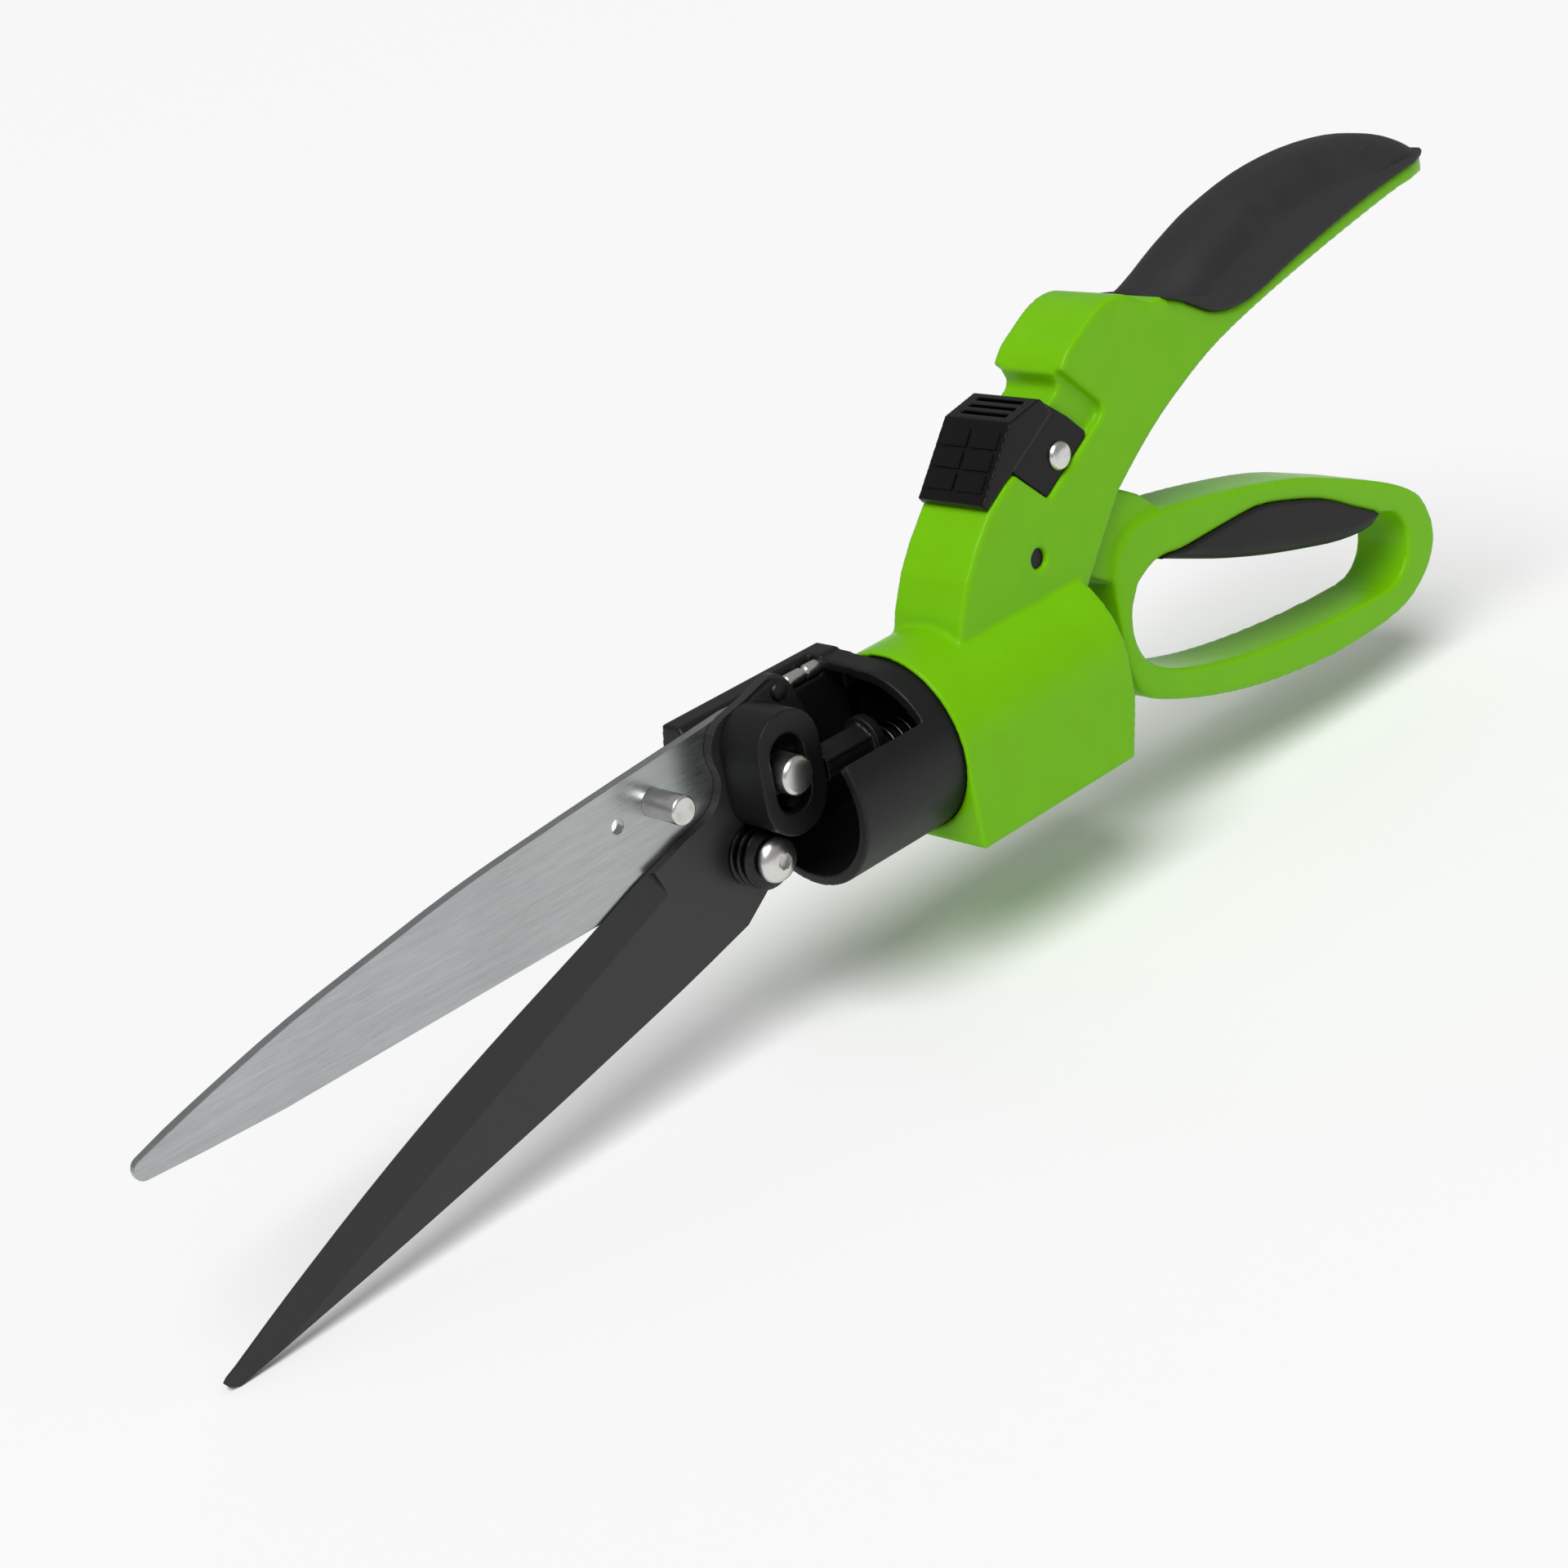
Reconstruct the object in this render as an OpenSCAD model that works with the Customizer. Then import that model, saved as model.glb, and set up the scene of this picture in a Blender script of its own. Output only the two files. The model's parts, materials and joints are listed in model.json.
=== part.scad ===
// Grass shears with a swivelling cutting head.
// +X runs forward along the swivel axis to the blade tips, +Y to the tool's left, +Z up to
// the upper handle. The origin is the middle of the flat underside of the housing's skirt.
// The modules draw from the point where the swivel axis meets the housing's front face.

/* [Housing] */
// Radius of the round barrel that holds the swivelling head
barrel_r = 20; // [19.6:0.1:24]
// Length of the barrel and its square skirt
barrel_len = 50; // [46:1:60]
// Distance from the swivel axis down to the skirt's flat underside
skirt_drop = 20.4; // [20:0.1:24]
// Width of the neck and upper handle across the tool
neck_w = 19.6; // [18:0.1:26]
// Width of the narrow inner neck that the lock slider straddles
tongue_w = 14.8; // [13:0.1:16]
// Height of the hump's crown above the swivel axis
hump_top = 70.8; // [69.8:0.2:76]

/* [Upper handle] */
// Distance from the housing's front face to the handle's tip
handle_end = 187; // [170:1:230]
// Width of the soft grip
grip_w = 22; // [20:0.5:30]
// Thickness of the soft grip over the handle's core
grip_skin = 2.4; // [1.5:0.1:4]

/* [Lower handle] */
// Width of the finger loop
loop_w = 15.4; // [12:0.2:20]
// Width of the lower handle's neck inside the housing
arm_w = 14.4; // [10:0.2:15]
// Height of the handle pivot above the swivel axis
pivot_h = 26; // [25:0.5:28]
// Diameter of the handle's pivot pin
pivot_d = 4.4; // [3:0.1:6]
// Width of the soft pad in the finger loop
pad_w = 16.6; // [14:0.2:22]

/* [Lock slider] */
// Width of the slider over its cheeks
slider_w = 17.8; // [17.2:0.1:19]
// Width of the slider's thumb pad
thumb_w = 18.6; // [17:0.1:20]
// Diameter of the slider's cross pin
slider_pin_d = 3.2; // [2:0.1:4]
// Distance that the slider travels
slider_travel = 5; // [3:0.5:5.5]

/* [Swivel head] */
// Radius of the carrier's ring, just in front of the housing
ring_r = 18.9; // [18.9:0.1:19.5]
// Wall of the carrier's half-round cup
cup_wall = 2.4; // [1.6:0.1:3.5]
// Distance from the housing to the cup's front rim
cup_len = 28; // [24:0.5:30]
// Radius of the hollow stub that turns in the housing
stub_r = 9; // [7:0.1:10]
// Distance from the swivel axis to the carrier's outer side
side_y = 17.8; // [16.5:0.1:18.5]

/* [Blades] */
// Thickness of each blade
blade_t = 2.2; // [1.5:0.1:3]
// Distance from the housing to the fixed blade's tip
blade_tip = 181; // [165:1:220]
// Distance from the housing to the blades' pivot
blade_pivot_x = 37; // [36:0.5:38]
// Depth of the blades' pivot below the swivel axis
blade_pivot_drop = 9; // [8:0.5:10]
// Diameter of the pivot screw's shank
screw_d = 5; // [4:0.1:6]
// Width of the ground bevel along the cutting edges
bevel_w = 7.4; // [5:0.1:8.5]

/* [Drive] */
// Diameter of the push rod where it crosses the cup
rod_d = 7.5; // [6:0.1:8]
// Diameter of the push rod's stem in the carrier's stub
stem_d = 8; // [6:0.1:9]
// Height of the rod's front part above the swivel axis
rod_rise = 4.5; // [3:0.1:6]
// Diameter of the drive pin's head
pin_head_d = 8; // [6:0.1:9]
// Diameter of the drive pin's shank
pin_shank_d = 5; // [4:0.1:6]

/* [Fits] */
// Radial clearance of a turning or sliding fit
run_gap = 0.05; // [0.02:0.01:0.1]
// Clearance between faces that move past each other
face_gap = 0.1; // [0.1:0.05:0.3]

/* [Hidden] */
$fn = 64;

lime = "#69b90a";
black = "#262627";
rubber = "#3a3a3c";
steel = "#b9bdc2";
dark_steel = "#3d3d3b";

// ---- places that several pieces share
skirt_half = barrel_r;
neck_half = neck_w / 2;
tongue_half = tongue_w / 2;
bulkhead_x0 = -20;              // rear face of the wall that the head turns in
bulkhead_x1 = -12;              // its front face
cavity_half = 7.8;              // half width of the slot for the lower handle's arm
rear_bore_r = 13.5;
pivot = [-39.5, pivot_h];       // handle pivot, in the X-Z plane
blade_pivot = [blade_pivot_x, -blade_pivot_drop];
cheek_y = -11.4;                // near face of the carrier's side, where the fixed blade lies
fixed_y = cheek_y + blade_t;    // near face of the fixed blade
moving_y0 = fixed_y + face_gap; // far face of the moving blade
moving_y1 = moving_y0 + blade_t;
drive = [32, 8.3];              // drive pin, in the X-Z plane
spool_x = pivot[0];             // middle of the groove that the handle's fork pulls
slide_a = 30.3;                 // slope of the lock slider's track
slide_0 = [-36.5, 45.5];        // lower end of the track
slider_pin_uv = [11.9, -8.35];  // the slider's cross pin, up and out of the track
pin_recess = 1.2;               // depth of the pivot pin's end below the neck's left side
detent_r = 13;                  // radius of the ring of detent dimples
detent_ball_r = 1.5;
detent_ball_x = bulkhead_x1 + detent_ball_r + 0.05;
detent_back = -6.6;             // bottom of the detent's pocket

base = [23, 0, skirt_drop];      // from the drawing's zero to the origin

// ---- helpers
// extrudes an outline drawn in the X-Z plane from y0 to y1
module side(points, y0, y1) {
    translate([0, y1, 0]) rotate([90, 0, 0]) linear_extrude(y1 - y0) polygon(points);
}
// the same for a 2-D child
module side_shape(y0, y1) {
    translate([0, y1, 0]) rotate([90, 0, 0]) linear_extrude(y1 - y0) children();
}
// extrudes a 2-D child, drawn in the Y-Z plane, from x0 to x1
module along_x(x0, x1) {
    translate([x0, 0, 0]) rotate([90, 0, 90]) linear_extrude(x1 - x0) children();
}
// cylinders along Y and along X
module pin_y(p, r, y0, y1) {
    translate([p[0], y1, p[1]]) rotate([90, 0, 0]) cylinder(r = r, h = y1 - y0);
}
module pin_x(y, z, r, x0, x1) {
    translate([x0, y, z]) rotate([0, 90, 0]) cylinder(r = r, h = x1 - x0);
}
// a shape turned about the Y line through p; its profile is [radius, y] pairs
module turned_y(p, profile) {
    translate([p[0], 0, p[1]]) rotate([-90, 0, 0]) rotate_extrude() polygon(profile);
}
// points on an arc, and on a smooth curve through a few points
function arc(c, r, a0, a1, n = 8) =
    [for (i = [0:n]) let (a = a0 + (a1 - a0) * i / n) c + r * [cos(a), sin(a)]];
function blend(a, b, c, d, t) =
    ((2 * b) + (c - a) * t + (2 * a - 5 * b + 4 * c - d) * t * t
    + (3 * b - a - 3 * c + d) * t * t * t) / 2;
function curve(p, n = 3) =
    [for (i = [0:len(p) - 2]) for (j = [0:n - 1])
        blend(p[max(i - 1, 0)], p[i], p[i + 1], p[min(i + 2, len(p) - 1)], j / n),
     p[len(p) - 1]];
// a point of the lock slider's track: u up the track, v out of it
function track(u, v) = slide_0 + u * [-cos(slide_a), sin(slide_a)] + v * [sin(slide_a), cos(slide_a)];
// a wire spring along X: polyhedron swept round a helix
module coil(mean_r, wire_r, x0, x1, turns, steps = 20, sides = 6) {
    n = ceil(turns * steps);
    rings = [for (i = [0:n]) let (a = 360 * turns * i / n, x = x0 + wire_r + (x1 - x0 - 2 * wire_r) * i / n)
        for (k = [0:sides - 1]) let (b = 360 * k / sides, r = mean_r + wire_r * cos(b))
            [x + wire_r * sin(b), r * cos(a), r * sin(a)]];
    walls = [for (i = [0:n - 1]) for (k = [0:sides - 1]) let (m = (k + 1) % sides)
        [i * sides + k, i * sides + m, (i + 1) * sides + m, (i + 1) * sides + k]];
    ends = [[for (k = [0:sides - 1]) sides - 1 - k], [for (k = [0:sides - 1]) n * sides + k]];
    polyhedron(rings, concat(walls, ends));
}

// ---- housing
handle_k = (handle_end - 100) / 87;             // stretch of the handle behind x = -100
function hx(x) = x > -100 ? x : -100 + (x + 100) * handle_k;
function stretch(p) = [for (q = p) [hx(q[0]), q[1]]];
handle_under = curve([[-66, 31], [-73, 36], [-81, 41], [-90, 45.5], [-100, 49.7], [-112, 53.2],
    [-130, 57.2], [-150, 61], [-170, 64.3], [-180, 65]]);
handle_top = curve([[-89.5, 66.2], [-95.5, 68], [-103, 71.4], [-110, 74.2], [-118.5, 77], [-133, 79.8],
    [-148, 80.4], [-162, 79], [-172, 76.4], [-179, 73.2], [-183.6, 70.4]]);
tip = arc([-182.9, 67.6], 3, 100, 290, 8);
hump = [[-54.6, 60.6], [-57.8, 64.2], [-62.5, 67], [-67.5, hump_top - 1.2], [-72.5, hump_top],
    [-77, hump_top - 0.6], [-80.5, 68], [-84, 66]];
neck_front = [[-12.6, 12], [-12.6, 15.5], [-14.7, 22], [-18.3, 29], [-22.9, 35], [-28.4, 40.6]];

module neck_outline() {
    polygon(concat(neck_front, [slide_0, track(21.8, 0), track(22.8, 1.2)], curve(hump), stretch(handle_top),
        stretch(tip), stretch([for (i = [len(handle_under) - 1:-1:0]) handle_under[i]]),
        [[-52, 14.5], [-50, 12]]));
}
// side recesses that the slider's cheeks run in, and the gap between its pad and the lip
module slider_recess() {
    polygon(concat([track(-3, 0.01), track(0.4, -0.6), track(3.4, -12), track(25, -12)],
        arc(track(24.6, -9.4), 2.6, 239, 149, 5), [track(24.1, 4), track(20, 24), track(-3, 24)]));
}
module arm_cavity() {
    polygon([[bulkhead_x0, -9], [bulkhead_x0, 20], [-24, 28], [-30, 33.5], [-44, 33.5], [-52, 37.5],
        [-60, 39], [-70, 39], [-78, 34], [-78, -9]]);
}
module housing() {
    translate(base) color(lime) difference() {
        union() {
            pin_x(0, 0, barrel_r, -barrel_len, 0);
            difference() {
                translate([-barrel_len, -skirt_half, -skirt_drop])
                    cube([barrel_len, 2 * skirt_half, skirt_drop]);
                // the skirt's rear lower edge slopes forward
                side([[-barrel_len - 1, -6], [-barrel_len, -8], [-barrel_len + 3.6, -skirt_drop - 1],
                    [-barrel_len - 1, -skirt_drop - 1]], -skirt_half - 1, skirt_half + 1);
            }
            side_shape(-neck_half, neck_half) neck_outline();
        }
        for (s = [-1, 1]) scale([1, s, 1])
            side_shape(tongue_half, neck_half + 1) slider_recess();
        // seat of the soft grip
        difference() {
            side(grip_outline(), -neck_half - 1, neck_half + 1);
            side(core_outline(), -neck_half + grip_skin - 0.9, neck_half - grip_skin + 0.9);
        }
        // bore for the head, its bearing wall and the cavity behind
        pin_x(0, 0, ring_r, bulkhead_x1, 1);
        pin_x(0, 0, stub_r + run_gap, bulkhead_x0 - 1, bulkhead_x1 + 1);
        side_shape(-cavity_half, cavity_half) arm_cavity();
        pin_x(0, 0, rear_bore_r, -barrel_len - 1, bulkhead_x0);
        for (a = [0:90:270]) rotate([a, 0, 0])
            translate([detent_ball_x - 0.5, 0, detent_r]) sphere(r = detent_ball_r + 0.1, $fn = 24);
        // pivot bore, right through both walls
        pin_y(pivot, pivot_d / 2, -neck_half - 1, neck_half + 1);
        // slot for the slider's cross pin
        side_shape(-neck_half - 1, neck_half + 1) slider_slot();
    }
}
module slider_slot() {
    r = slider_pin_d / 2 + run_gap;
    u0 = slider_pin_uv[0];
    u1 = u0 + slider_travel;
    v = slider_pin_uv[1];
    translate(track(u0, v)) circle(r = r);
    translate(track(u1, v)) circle(r = r);
    polygon([track(u0, v + r), track(u0, v - r), track(u1, v - r), track(u1, v + r)]);
}

// ---- soft grip: a saddle over the handle's core
grip_edge = curve([[-88, 65.6], [-93, 63.6], [-98, 60.6], [-103, 57.9], [-110, 56.6], [-118, 57.4],
    [-130, 60.4], [-145, 63.6], [-160, 66.3], [-175, 68.2], [-187, 69.4]]);
function grip_outline() = concat(stretch(grip_edge), stretch([[-187, 84]]), [[-88, 84]]);
function core_outline() = concat(
    stretch([[-91.5, 50], [-91.5, 64.3], [-98, 66.2], [-104, 69], [-110, 71.4], [-118.5, 74.4], [-133, 77.2],
    [-148, 77.8], [-162, 76.4], [-172, 73.8], [-178, 71], [-181, 60]]), [[-120, 50]]);
module upper_grip() {
    top = stretch(concat([[-88, 65.7]], handle_top, [for (q = tip) if (q[1] > 69.8) q]));
    translate(base) color(rubber) difference() {
        side(concat(top, stretch([for (i = [len(grip_edge) - 2:-1:0]) grip_edge[i]])),
            -grip_w / 2, grip_w / 2);
        side(core_outline(), -neck_half + grip_skin - 0.9, neck_half - grip_skin + 0.9);
    }
}

module handle_pivot_pin() {
    translate(base) color(steel) pin_y(pivot, pivot_d / 2, -neck_half + 0.6, neck_half - pin_recess);
}
// ---- lower handle
loop_top = curve([[-62, 6], [-62.3, 12.8], [-64.8, 17.4], [-69.5, 20.6], [-76, 21.4], [-85, 20.4],
    [-105, 16.6], [-125, 11.6], [-140, 5.9], [-152, 0.8], [-161, -3.8], [-167.4, -8.8], [-170.3, -15.5]]);
loop_low = curve([[-170.3, -15.5], [-170.2, -20.5], [-167, -26], [-160.5, -30.6], [-153, -32.7],
    [-140, -33.5], [-124, -32.8], [-104, -29.9], [-87, -25.6], [-73, -20.5], [-66, -16.6], [-63, -10.5],
    [-62, -3]]);
hole_top = curve([[-69.4, 8.4], [-76, 11.2], [-85, 10.4], [-96, 10.6], [-110, 10.4], [-122, 7.4],
    [-133, 3.4], [-142, -1.6], [-151, -6.6]]);
hole_low = curve([[-157.4, -8.8], [-160.4, -13.8], [-159.4, -20.8], [-153.4, -25.4], [-140, -25.4],
    [-120, -23.8], [-100, -20.9], [-85, -17.4], [-74.6, -13.6], [-67.8, -8.4], [-65.6, -1.6], [-66.6, 4]]);
pad_low = curve([[-151, -6.6], [-148.5, -9.6], [-138, -8.8], [-125, -5.7], [-112, -2.1], [-99, 2.2],
    [-88, 6.4], [-79, 10], [-76, 11.2]]);
fork_r = 2.5;
hub_r = 5.6;
module loop_plate(half) {
    side_shape(-half, half) difference() {
        polygon(concat(loop_top, loop_low));
        polygon(concat(hole_top, hole_low));
    }
}
module lower_handle() {
    arm = arm_w / 2;
    translate(base) color(lime) difference() {
        union() {
            loop_plate(loop_w / 2);
            // neck into the housing, and the hub round the pivot
            side(concat([[-39.5, pivot_h + 5.5], [-50, 31.8], [-58, 31.4], [-68, 30.6], [-75, 26.6],
                [-81.5, 20.6], [-72, 15], [-64, 10], [-58, 14], [-50, 20], [-44.8, pivot_h - 1]]),
                -arm + 0.9, arm - 0.9);
            pin_y(pivot, hub_r, -arm, arm);
            // arm down to the fork
            side([[-44.6, pivot_h], [-43, 12.5], [-41.2, 9.5], [-37.8, 9.5], [-36, 12.5], [-34.4, pivot_h]],
                -arm, arm);
            for (s = [-1, 1]) scale([1, s, 1]) {
                side([[-40.8, 10], [-40.8, 0], [-38.2, 0], [-38.2, 10]], 4.2, arm);
                pin_y([spool_x, 0], fork_r, 3.6, arm);
            }
        }
        pin_y(pivot, pivot_d / 2 + run_gap, -arm - 1, arm + 1);
    }
}
module finger_pad() {
    upper = [for (p = hole_top) if (p[0] < -75.9) p];
    lower = [for (i = [1:len(pad_low) - 2]) pad_low[i]];
    translate(base) color(rubber) side(concat(upper, lower), -pad_w / 2, pad_w / 2);
}

// ---- lock slider: a saddle that runs on the neck's front
module lock_slider() {
    half = slider_w / 2;
    gap = face_gap;
    groove_half = 0.5;
    pad_step = [4.44, 1.54];        // pitch of the thumb pads up the front face
    cheek = [track(0.7, -0.5), track(3.6, -11.9), track(19.6, -11.9), track(20.6, -11),
        track(19.2, -4.7), track(16.3, 3.7), track(2, 4)];
    pad = concat([track(-9.8, gap + 0.15), track(-9.9, 1.9), track(7.1, 7.8)],
        [track(16, 4.7), track(16.3, 3.7), track(16.3, gap)]);
    translate(base) color(black) difference() {
        union() {
            for (s = [-1, 1]) scale([1, s, 1]) side(cheek, tongue_half + gap, half);
            side(pad, -thumb_w / 2, thumb_w / 2);
        }
        // three slots across the top face, grooves between the thumb pads of the front face
        for (u = [9.2, 11.6, 14]) let (a = u - groove_half, b = u + groove_half, v = 5.9 - (u - 9) * 0.35)
            side([track(a, 12), track(a, v), track(b, v - 0.3), track(b, 12)], -half + 2.4, half - 2.4);
        for (i = [0:3]) let (p = [-8.06, 2.54] + i * pad_step)
            side([track(p[0], p[1] - 0.45), track(p[0] + 0.4, p[1] + 1.2), track(p[0] - 1.2, p[1] + 1.2)],
                -thumb_w / 2 - 1, thumb_w / 2 + 1);
        pin_y(track(slider_pin_uv[0], slider_pin_uv[1]), slider_pin_d / 2, -half - 1, half + 1);
    }
}
module slider_pin() {
    half = slider_w / 2;
    r = slider_pin_d / 2;
    translate(base) color(steel) turned_y(track(slider_pin_uv[0], slider_pin_uv[1]),
        [[0, -half - 0.9], [r + 0.7, -half - 0.9], [r + 0.9, -half - 0.6], [r + 0.9, -half], [r, -half],
        [r, half], [3.1, half], [3.1, half + 0.3], [2.7, half + 0.9], [1.7, half + 1.35], [0, half + 1.5]]);
}

// ---- swivel head
corner_z = ring_r + 1.4;        // height of the carrier's square upper edge
ring_x = 6;                     // front face of the carrier's ring
cup_open_a = 32;                // height angle of the cup's free edge
rim_out = 40 * [cos(cup_open_a), sin(cup_open_a)];
cup_r = ring_r - cup_wall;      // inside of the cup
locating = [-12.6, 18, 1.5];    // locating pin: y, z and radius
retainer_x = bulkhead_x0 - 0.1 - 0.8;   // rear face of the swivel washer
washer_disc_r = 12.2;           // outside of the swivel washer

module cheek_outline() {
    polygon([[0.4, corner_z], [43.5, corner_z], [44.6, 15.5], [47.4, 2], [46.2, -6.2], [0.4, -6.2]]);
    translate(blade_pivot) circle(r = 9.3);
}
module swivel_carrier() {
    translate(base) color(black) difference() {
        union() {
            difference() {
                union() {
                    pin_x(0, 0, ring_r, 0.4, cup_len);
                    // square upper corner of the ring
                    along_x(0.4, ring_x)
                        polygon([[0, 0], [-side_y, 0], [-side_y, corner_z], [0.9, ring_r - 0.02]]);
                }
                // hollow of the ring and the cup, as far as the right cheek
                along_x(-1, cup_len + 1) difference() {
                    union() {
                        circle(r = cup_r);
                        polygon([[cheek_y, 0], [cheek_y, 17.4], [-4, 17.2], [0, cup_r - 0.1], [0, 0]]);
                    }
                    translate([-30, -30]) square([30 + cheek_y, 60]);
                }
                // the cup is open from above its left side to the cheek
                along_x(ring_x, cup_len + 1)
                    polygon([[0, 0], [cheek_y, 0], [cheek_y, 40], rim_out + [0, 15], rim_out]);
            }
            // the right cheek, which backs the fixed blade
            side_shape(-side_y, cheek_y) cheek_outline();
            // the plug that turns in the housing, and its stub
            difference() {
                pin_x(0, 0, ring_r - run_gap, bulkhead_x1 + 0.2, 0.4);
                pin_x(0, 0, cup_r - 1, -6, 1);
            }
            pin_x(0, 0, stub_r, retainer_x - 2.4, bulkhead_x1 + 0.2);
        }
        pin_x(0, 0, stem_d / 2 + run_gap, retainer_x - 3, 0);
        // flat right side
        translate([ring_x, -side_y - 20, -30]) cube([60, 20, 60]);
        // retainer's groove
        difference() {
            pin_x(0, 0, stub_r + 1, retainer_x - 1.2, retainer_x - 0.05);
            pin_x(0, 0, stub_r - 1.2, retainer_x - 2, retainer_x + 1);
        }
        // detent's pocket, the locating pin's hole and open channel, the screw's and rivets' holes
        pin_x(0, detent_r, detent_ball_r + 0.1, bulkhead_x1, detent_back);
        pin_x(locating[0], locating[1], locating[2], 2.5, 8);
        translate([ring_x, locating[0] - locating[2] - 0.3, locating[1] - locating[2] - 0.3]) cube([11, 9, 9]);
        side([[ring_x, corner_z + 1], [60, corner_z + 1], [60, corner_z - 1], [ring_x, corner_z - 1]],
            cheek_y - 1, cheek_y + 1);
        pin_y(blade_pivot, screw_d / 2 + run_gap, -side_y - 1, cheek_y + 1);
        for (p = rivet_places) pin_y(p, rivet_r, -side_y - 1, cheek_y + 1);
    }
}
module swivel_washer() {
    translate(base) color("#d8d8d2") difference() {
        pin_x(0, 0, washer_disc_r, retainer_x, bulkhead_x0 - 0.1);
        pin_x(0, 0, stub_r + run_gap, retainer_x - 1, bulkhead_x0 + 1);
    }
}
module swivel_retainer() {
    translate(base) color(steel) difference() {
        pin_x(0, 0, washer_disc_r - 0.6, retainer_x - 1.15, retainer_x - 0.1);
        pin_x(0, 0, stub_r - 1.15, retainer_x - 2, retainer_x + 1);
        // its open mouth
        translate([retainer_x - 2, -4.5, -20]) cube([3, 9, 14]);
    }
}
module detent_ball() {
    translate(base) color(steel) translate([detent_ball_x, 0, detent_r]) sphere(r = detent_ball_r);
}
module detent_spring() {
    translate(base) color(steel) translate([0, 0, detent_r])
        coil(1.1, 0.12, detent_ball_x + 1.1, detent_back, 2.5, 14);
}

// ---- fixed blade and what fastens it
rivet_r = 2;
rivet_places = [[22, -2], [24, 13]];
stop_place = [56, 10.5];
edge_land = 0.3;                // thickness that the grinding leaves at the cutting edges
fixed_k = (blade_tip - 50) / 131;               // stretch of both blades in front of x = 50
function bx(x) = x < 50 ? x : 50 + (x - 50) * fixed_k;
function blade_pts(p) = [for (q = p) [bx(q[0]), q[1]]];
fixed_top = curve([[176.6, -0.9], [163, 2.8], [144, 7.3], [124, 10.8], [104, 14], [84, 16.1], [62, 18],
    [34, 20.2]]);
fixed_tip = arc([178.85, -3.75], 2.15, 276, 435, 8);
// cuts a ground bevel: from a depth w on one face to the edge line a-b; s is +1 or -1 for the
// side of the line that the blade lies on, y_face the ground face and y_edge the edge
module ground(a, b, w, s, y_face, y_edge) {
    d = b - a;
    out = y_face > y_edge ? 1 : -1;
    translate([a[0], 0, a[1]]) rotate([0, -atan2(d[1], d[0]), 0]) along_x(0, norm(d))
        polygon([[y_edge, -3 * s], [y_edge, 0], [y_face, w * s], [y_face + out, w * s],
            [y_face + out, -3 * s]]);
}
module fixed_blade() {
    translate(base) color(steel) difference() {
        side(concat(blade_pts(fixed_top), [[22, 19.6], [17.5, 16.5], [16, 12], [16, -10.8],
            [cup_len, -10.8], [32, -16]], arc(blade_pivot, 8.8, 240, 330, 6), [[52, -8.4]],
            blade_pts([[66, -7], [150, -7.3], [167, -6.6]]), blade_pts(fixed_tip)), cheek_y, fixed_y);
        ground([bx(66), -7.2], [bx(181), -7.2], bevel_w, 1, cheek_y, fixed_y - edge_land);
        pin_y(blade_pivot, screw_d / 2 + run_gap, cheek_y - 1, fixed_y + 1);
        pin_y([65.5, 9.7], 1.5, cheek_y - 1, fixed_y + 1);
        pin_y(stop_place, 2.2, cheek_y - 1, fixed_y + 1);
        for (p = rivet_places) pin_y(p, rivet_r, cheek_y - 1, fixed_y + 1);
    }
}
module blade_rivets() {
    translate(base) color(steel) for (p = rivet_places)
        turned_y(p, [[0, -side_y - 1.4], [2, -side_y - 1.2], [3.2, -side_y - 0.5], [3.4, -side_y],
            [rivet_r, -side_y], [rivet_r, fixed_y], [0, fixed_y]]);
}
module stop_pin() {
    translate(base) color(steel) turned_y(stop_place,
        [[0, cheek_y - 0.8], [2.6, cheek_y - 0.8], [3, cheek_y - 0.4], [3, cheek_y], [2.2, cheek_y],
        [2.2, fixed_y], [3, fixed_y], [3, fixed_y + 9.1], [2.6, fixed_y + 9.5], [0, fixed_y + 9.5]]);
}
module locating_pin() {
    translate(base) color(steel) translate([2.5, locating[0], locating[1]]) rotate([0, 90, 0])
        rotate_extrude() polygon([[0, 0], [1.5, 0], [1.5, 7], [1.15, 7.3], [1.15, 8], [1.5, 8.3],
            [1.5, 12.4], [1.1, 12.8], [0, 12.8]]);
}

// ---- blade pivot: screw, bush, spring washers and nut
head_y = 0;                     // underside of the screw's head
head_r = screw_d / 2 + 2.2;
bush_r = screw_d / 2 + 1.5;
washer_r = 6.6;
module pivot_screw() {
    r = screw_d / 2;
    translate(base) color(steel) difference() {
        turned_y(blade_pivot, concat([[0, -side_y - 4.9], [r - 0.4, -side_y - 4.9], [r, -side_y - 4.5],
            [r, head_y], [head_r, head_y], [head_r, head_y + 0.4]],
            [for (a = [10:16:74]) [head_r * cos(a), head_y + 0.4 + 2.6 * sin(a)]], [[0, head_y + 3]]));
        translate([blade_pivot[0], head_y + 4, blade_pivot[1]]) rotate([90, 0, 0])
            cylinder(r = 1.75, h = 2.6, $fn = 6);
    }
}
module pivot_bush() {
    translate(base) color(steel) difference() {
        pin_y(blade_pivot, bush_r, moving_y1 + face_gap, head_y);
        pin_y(blade_pivot, screw_d / 2 + run_gap, moving_y1 - 1, head_y + 1);
    }
}
module spring_washers() {
    n = 3;
    pitch = (head_y - 0.3 - moving_y1 - face_gap) / n;
    translate(base) color(dark_steel) for (i = [0:n - 1]) let (y = moving_y1 + face_gap + i * pitch)
        turned_y(blade_pivot, [[bush_r + run_gap, y + 1], [washer_r, y + 0.05], [washer_r, y + 0.65],
            [bush_r + run_gap, y + 1.7]]);
}
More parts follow.
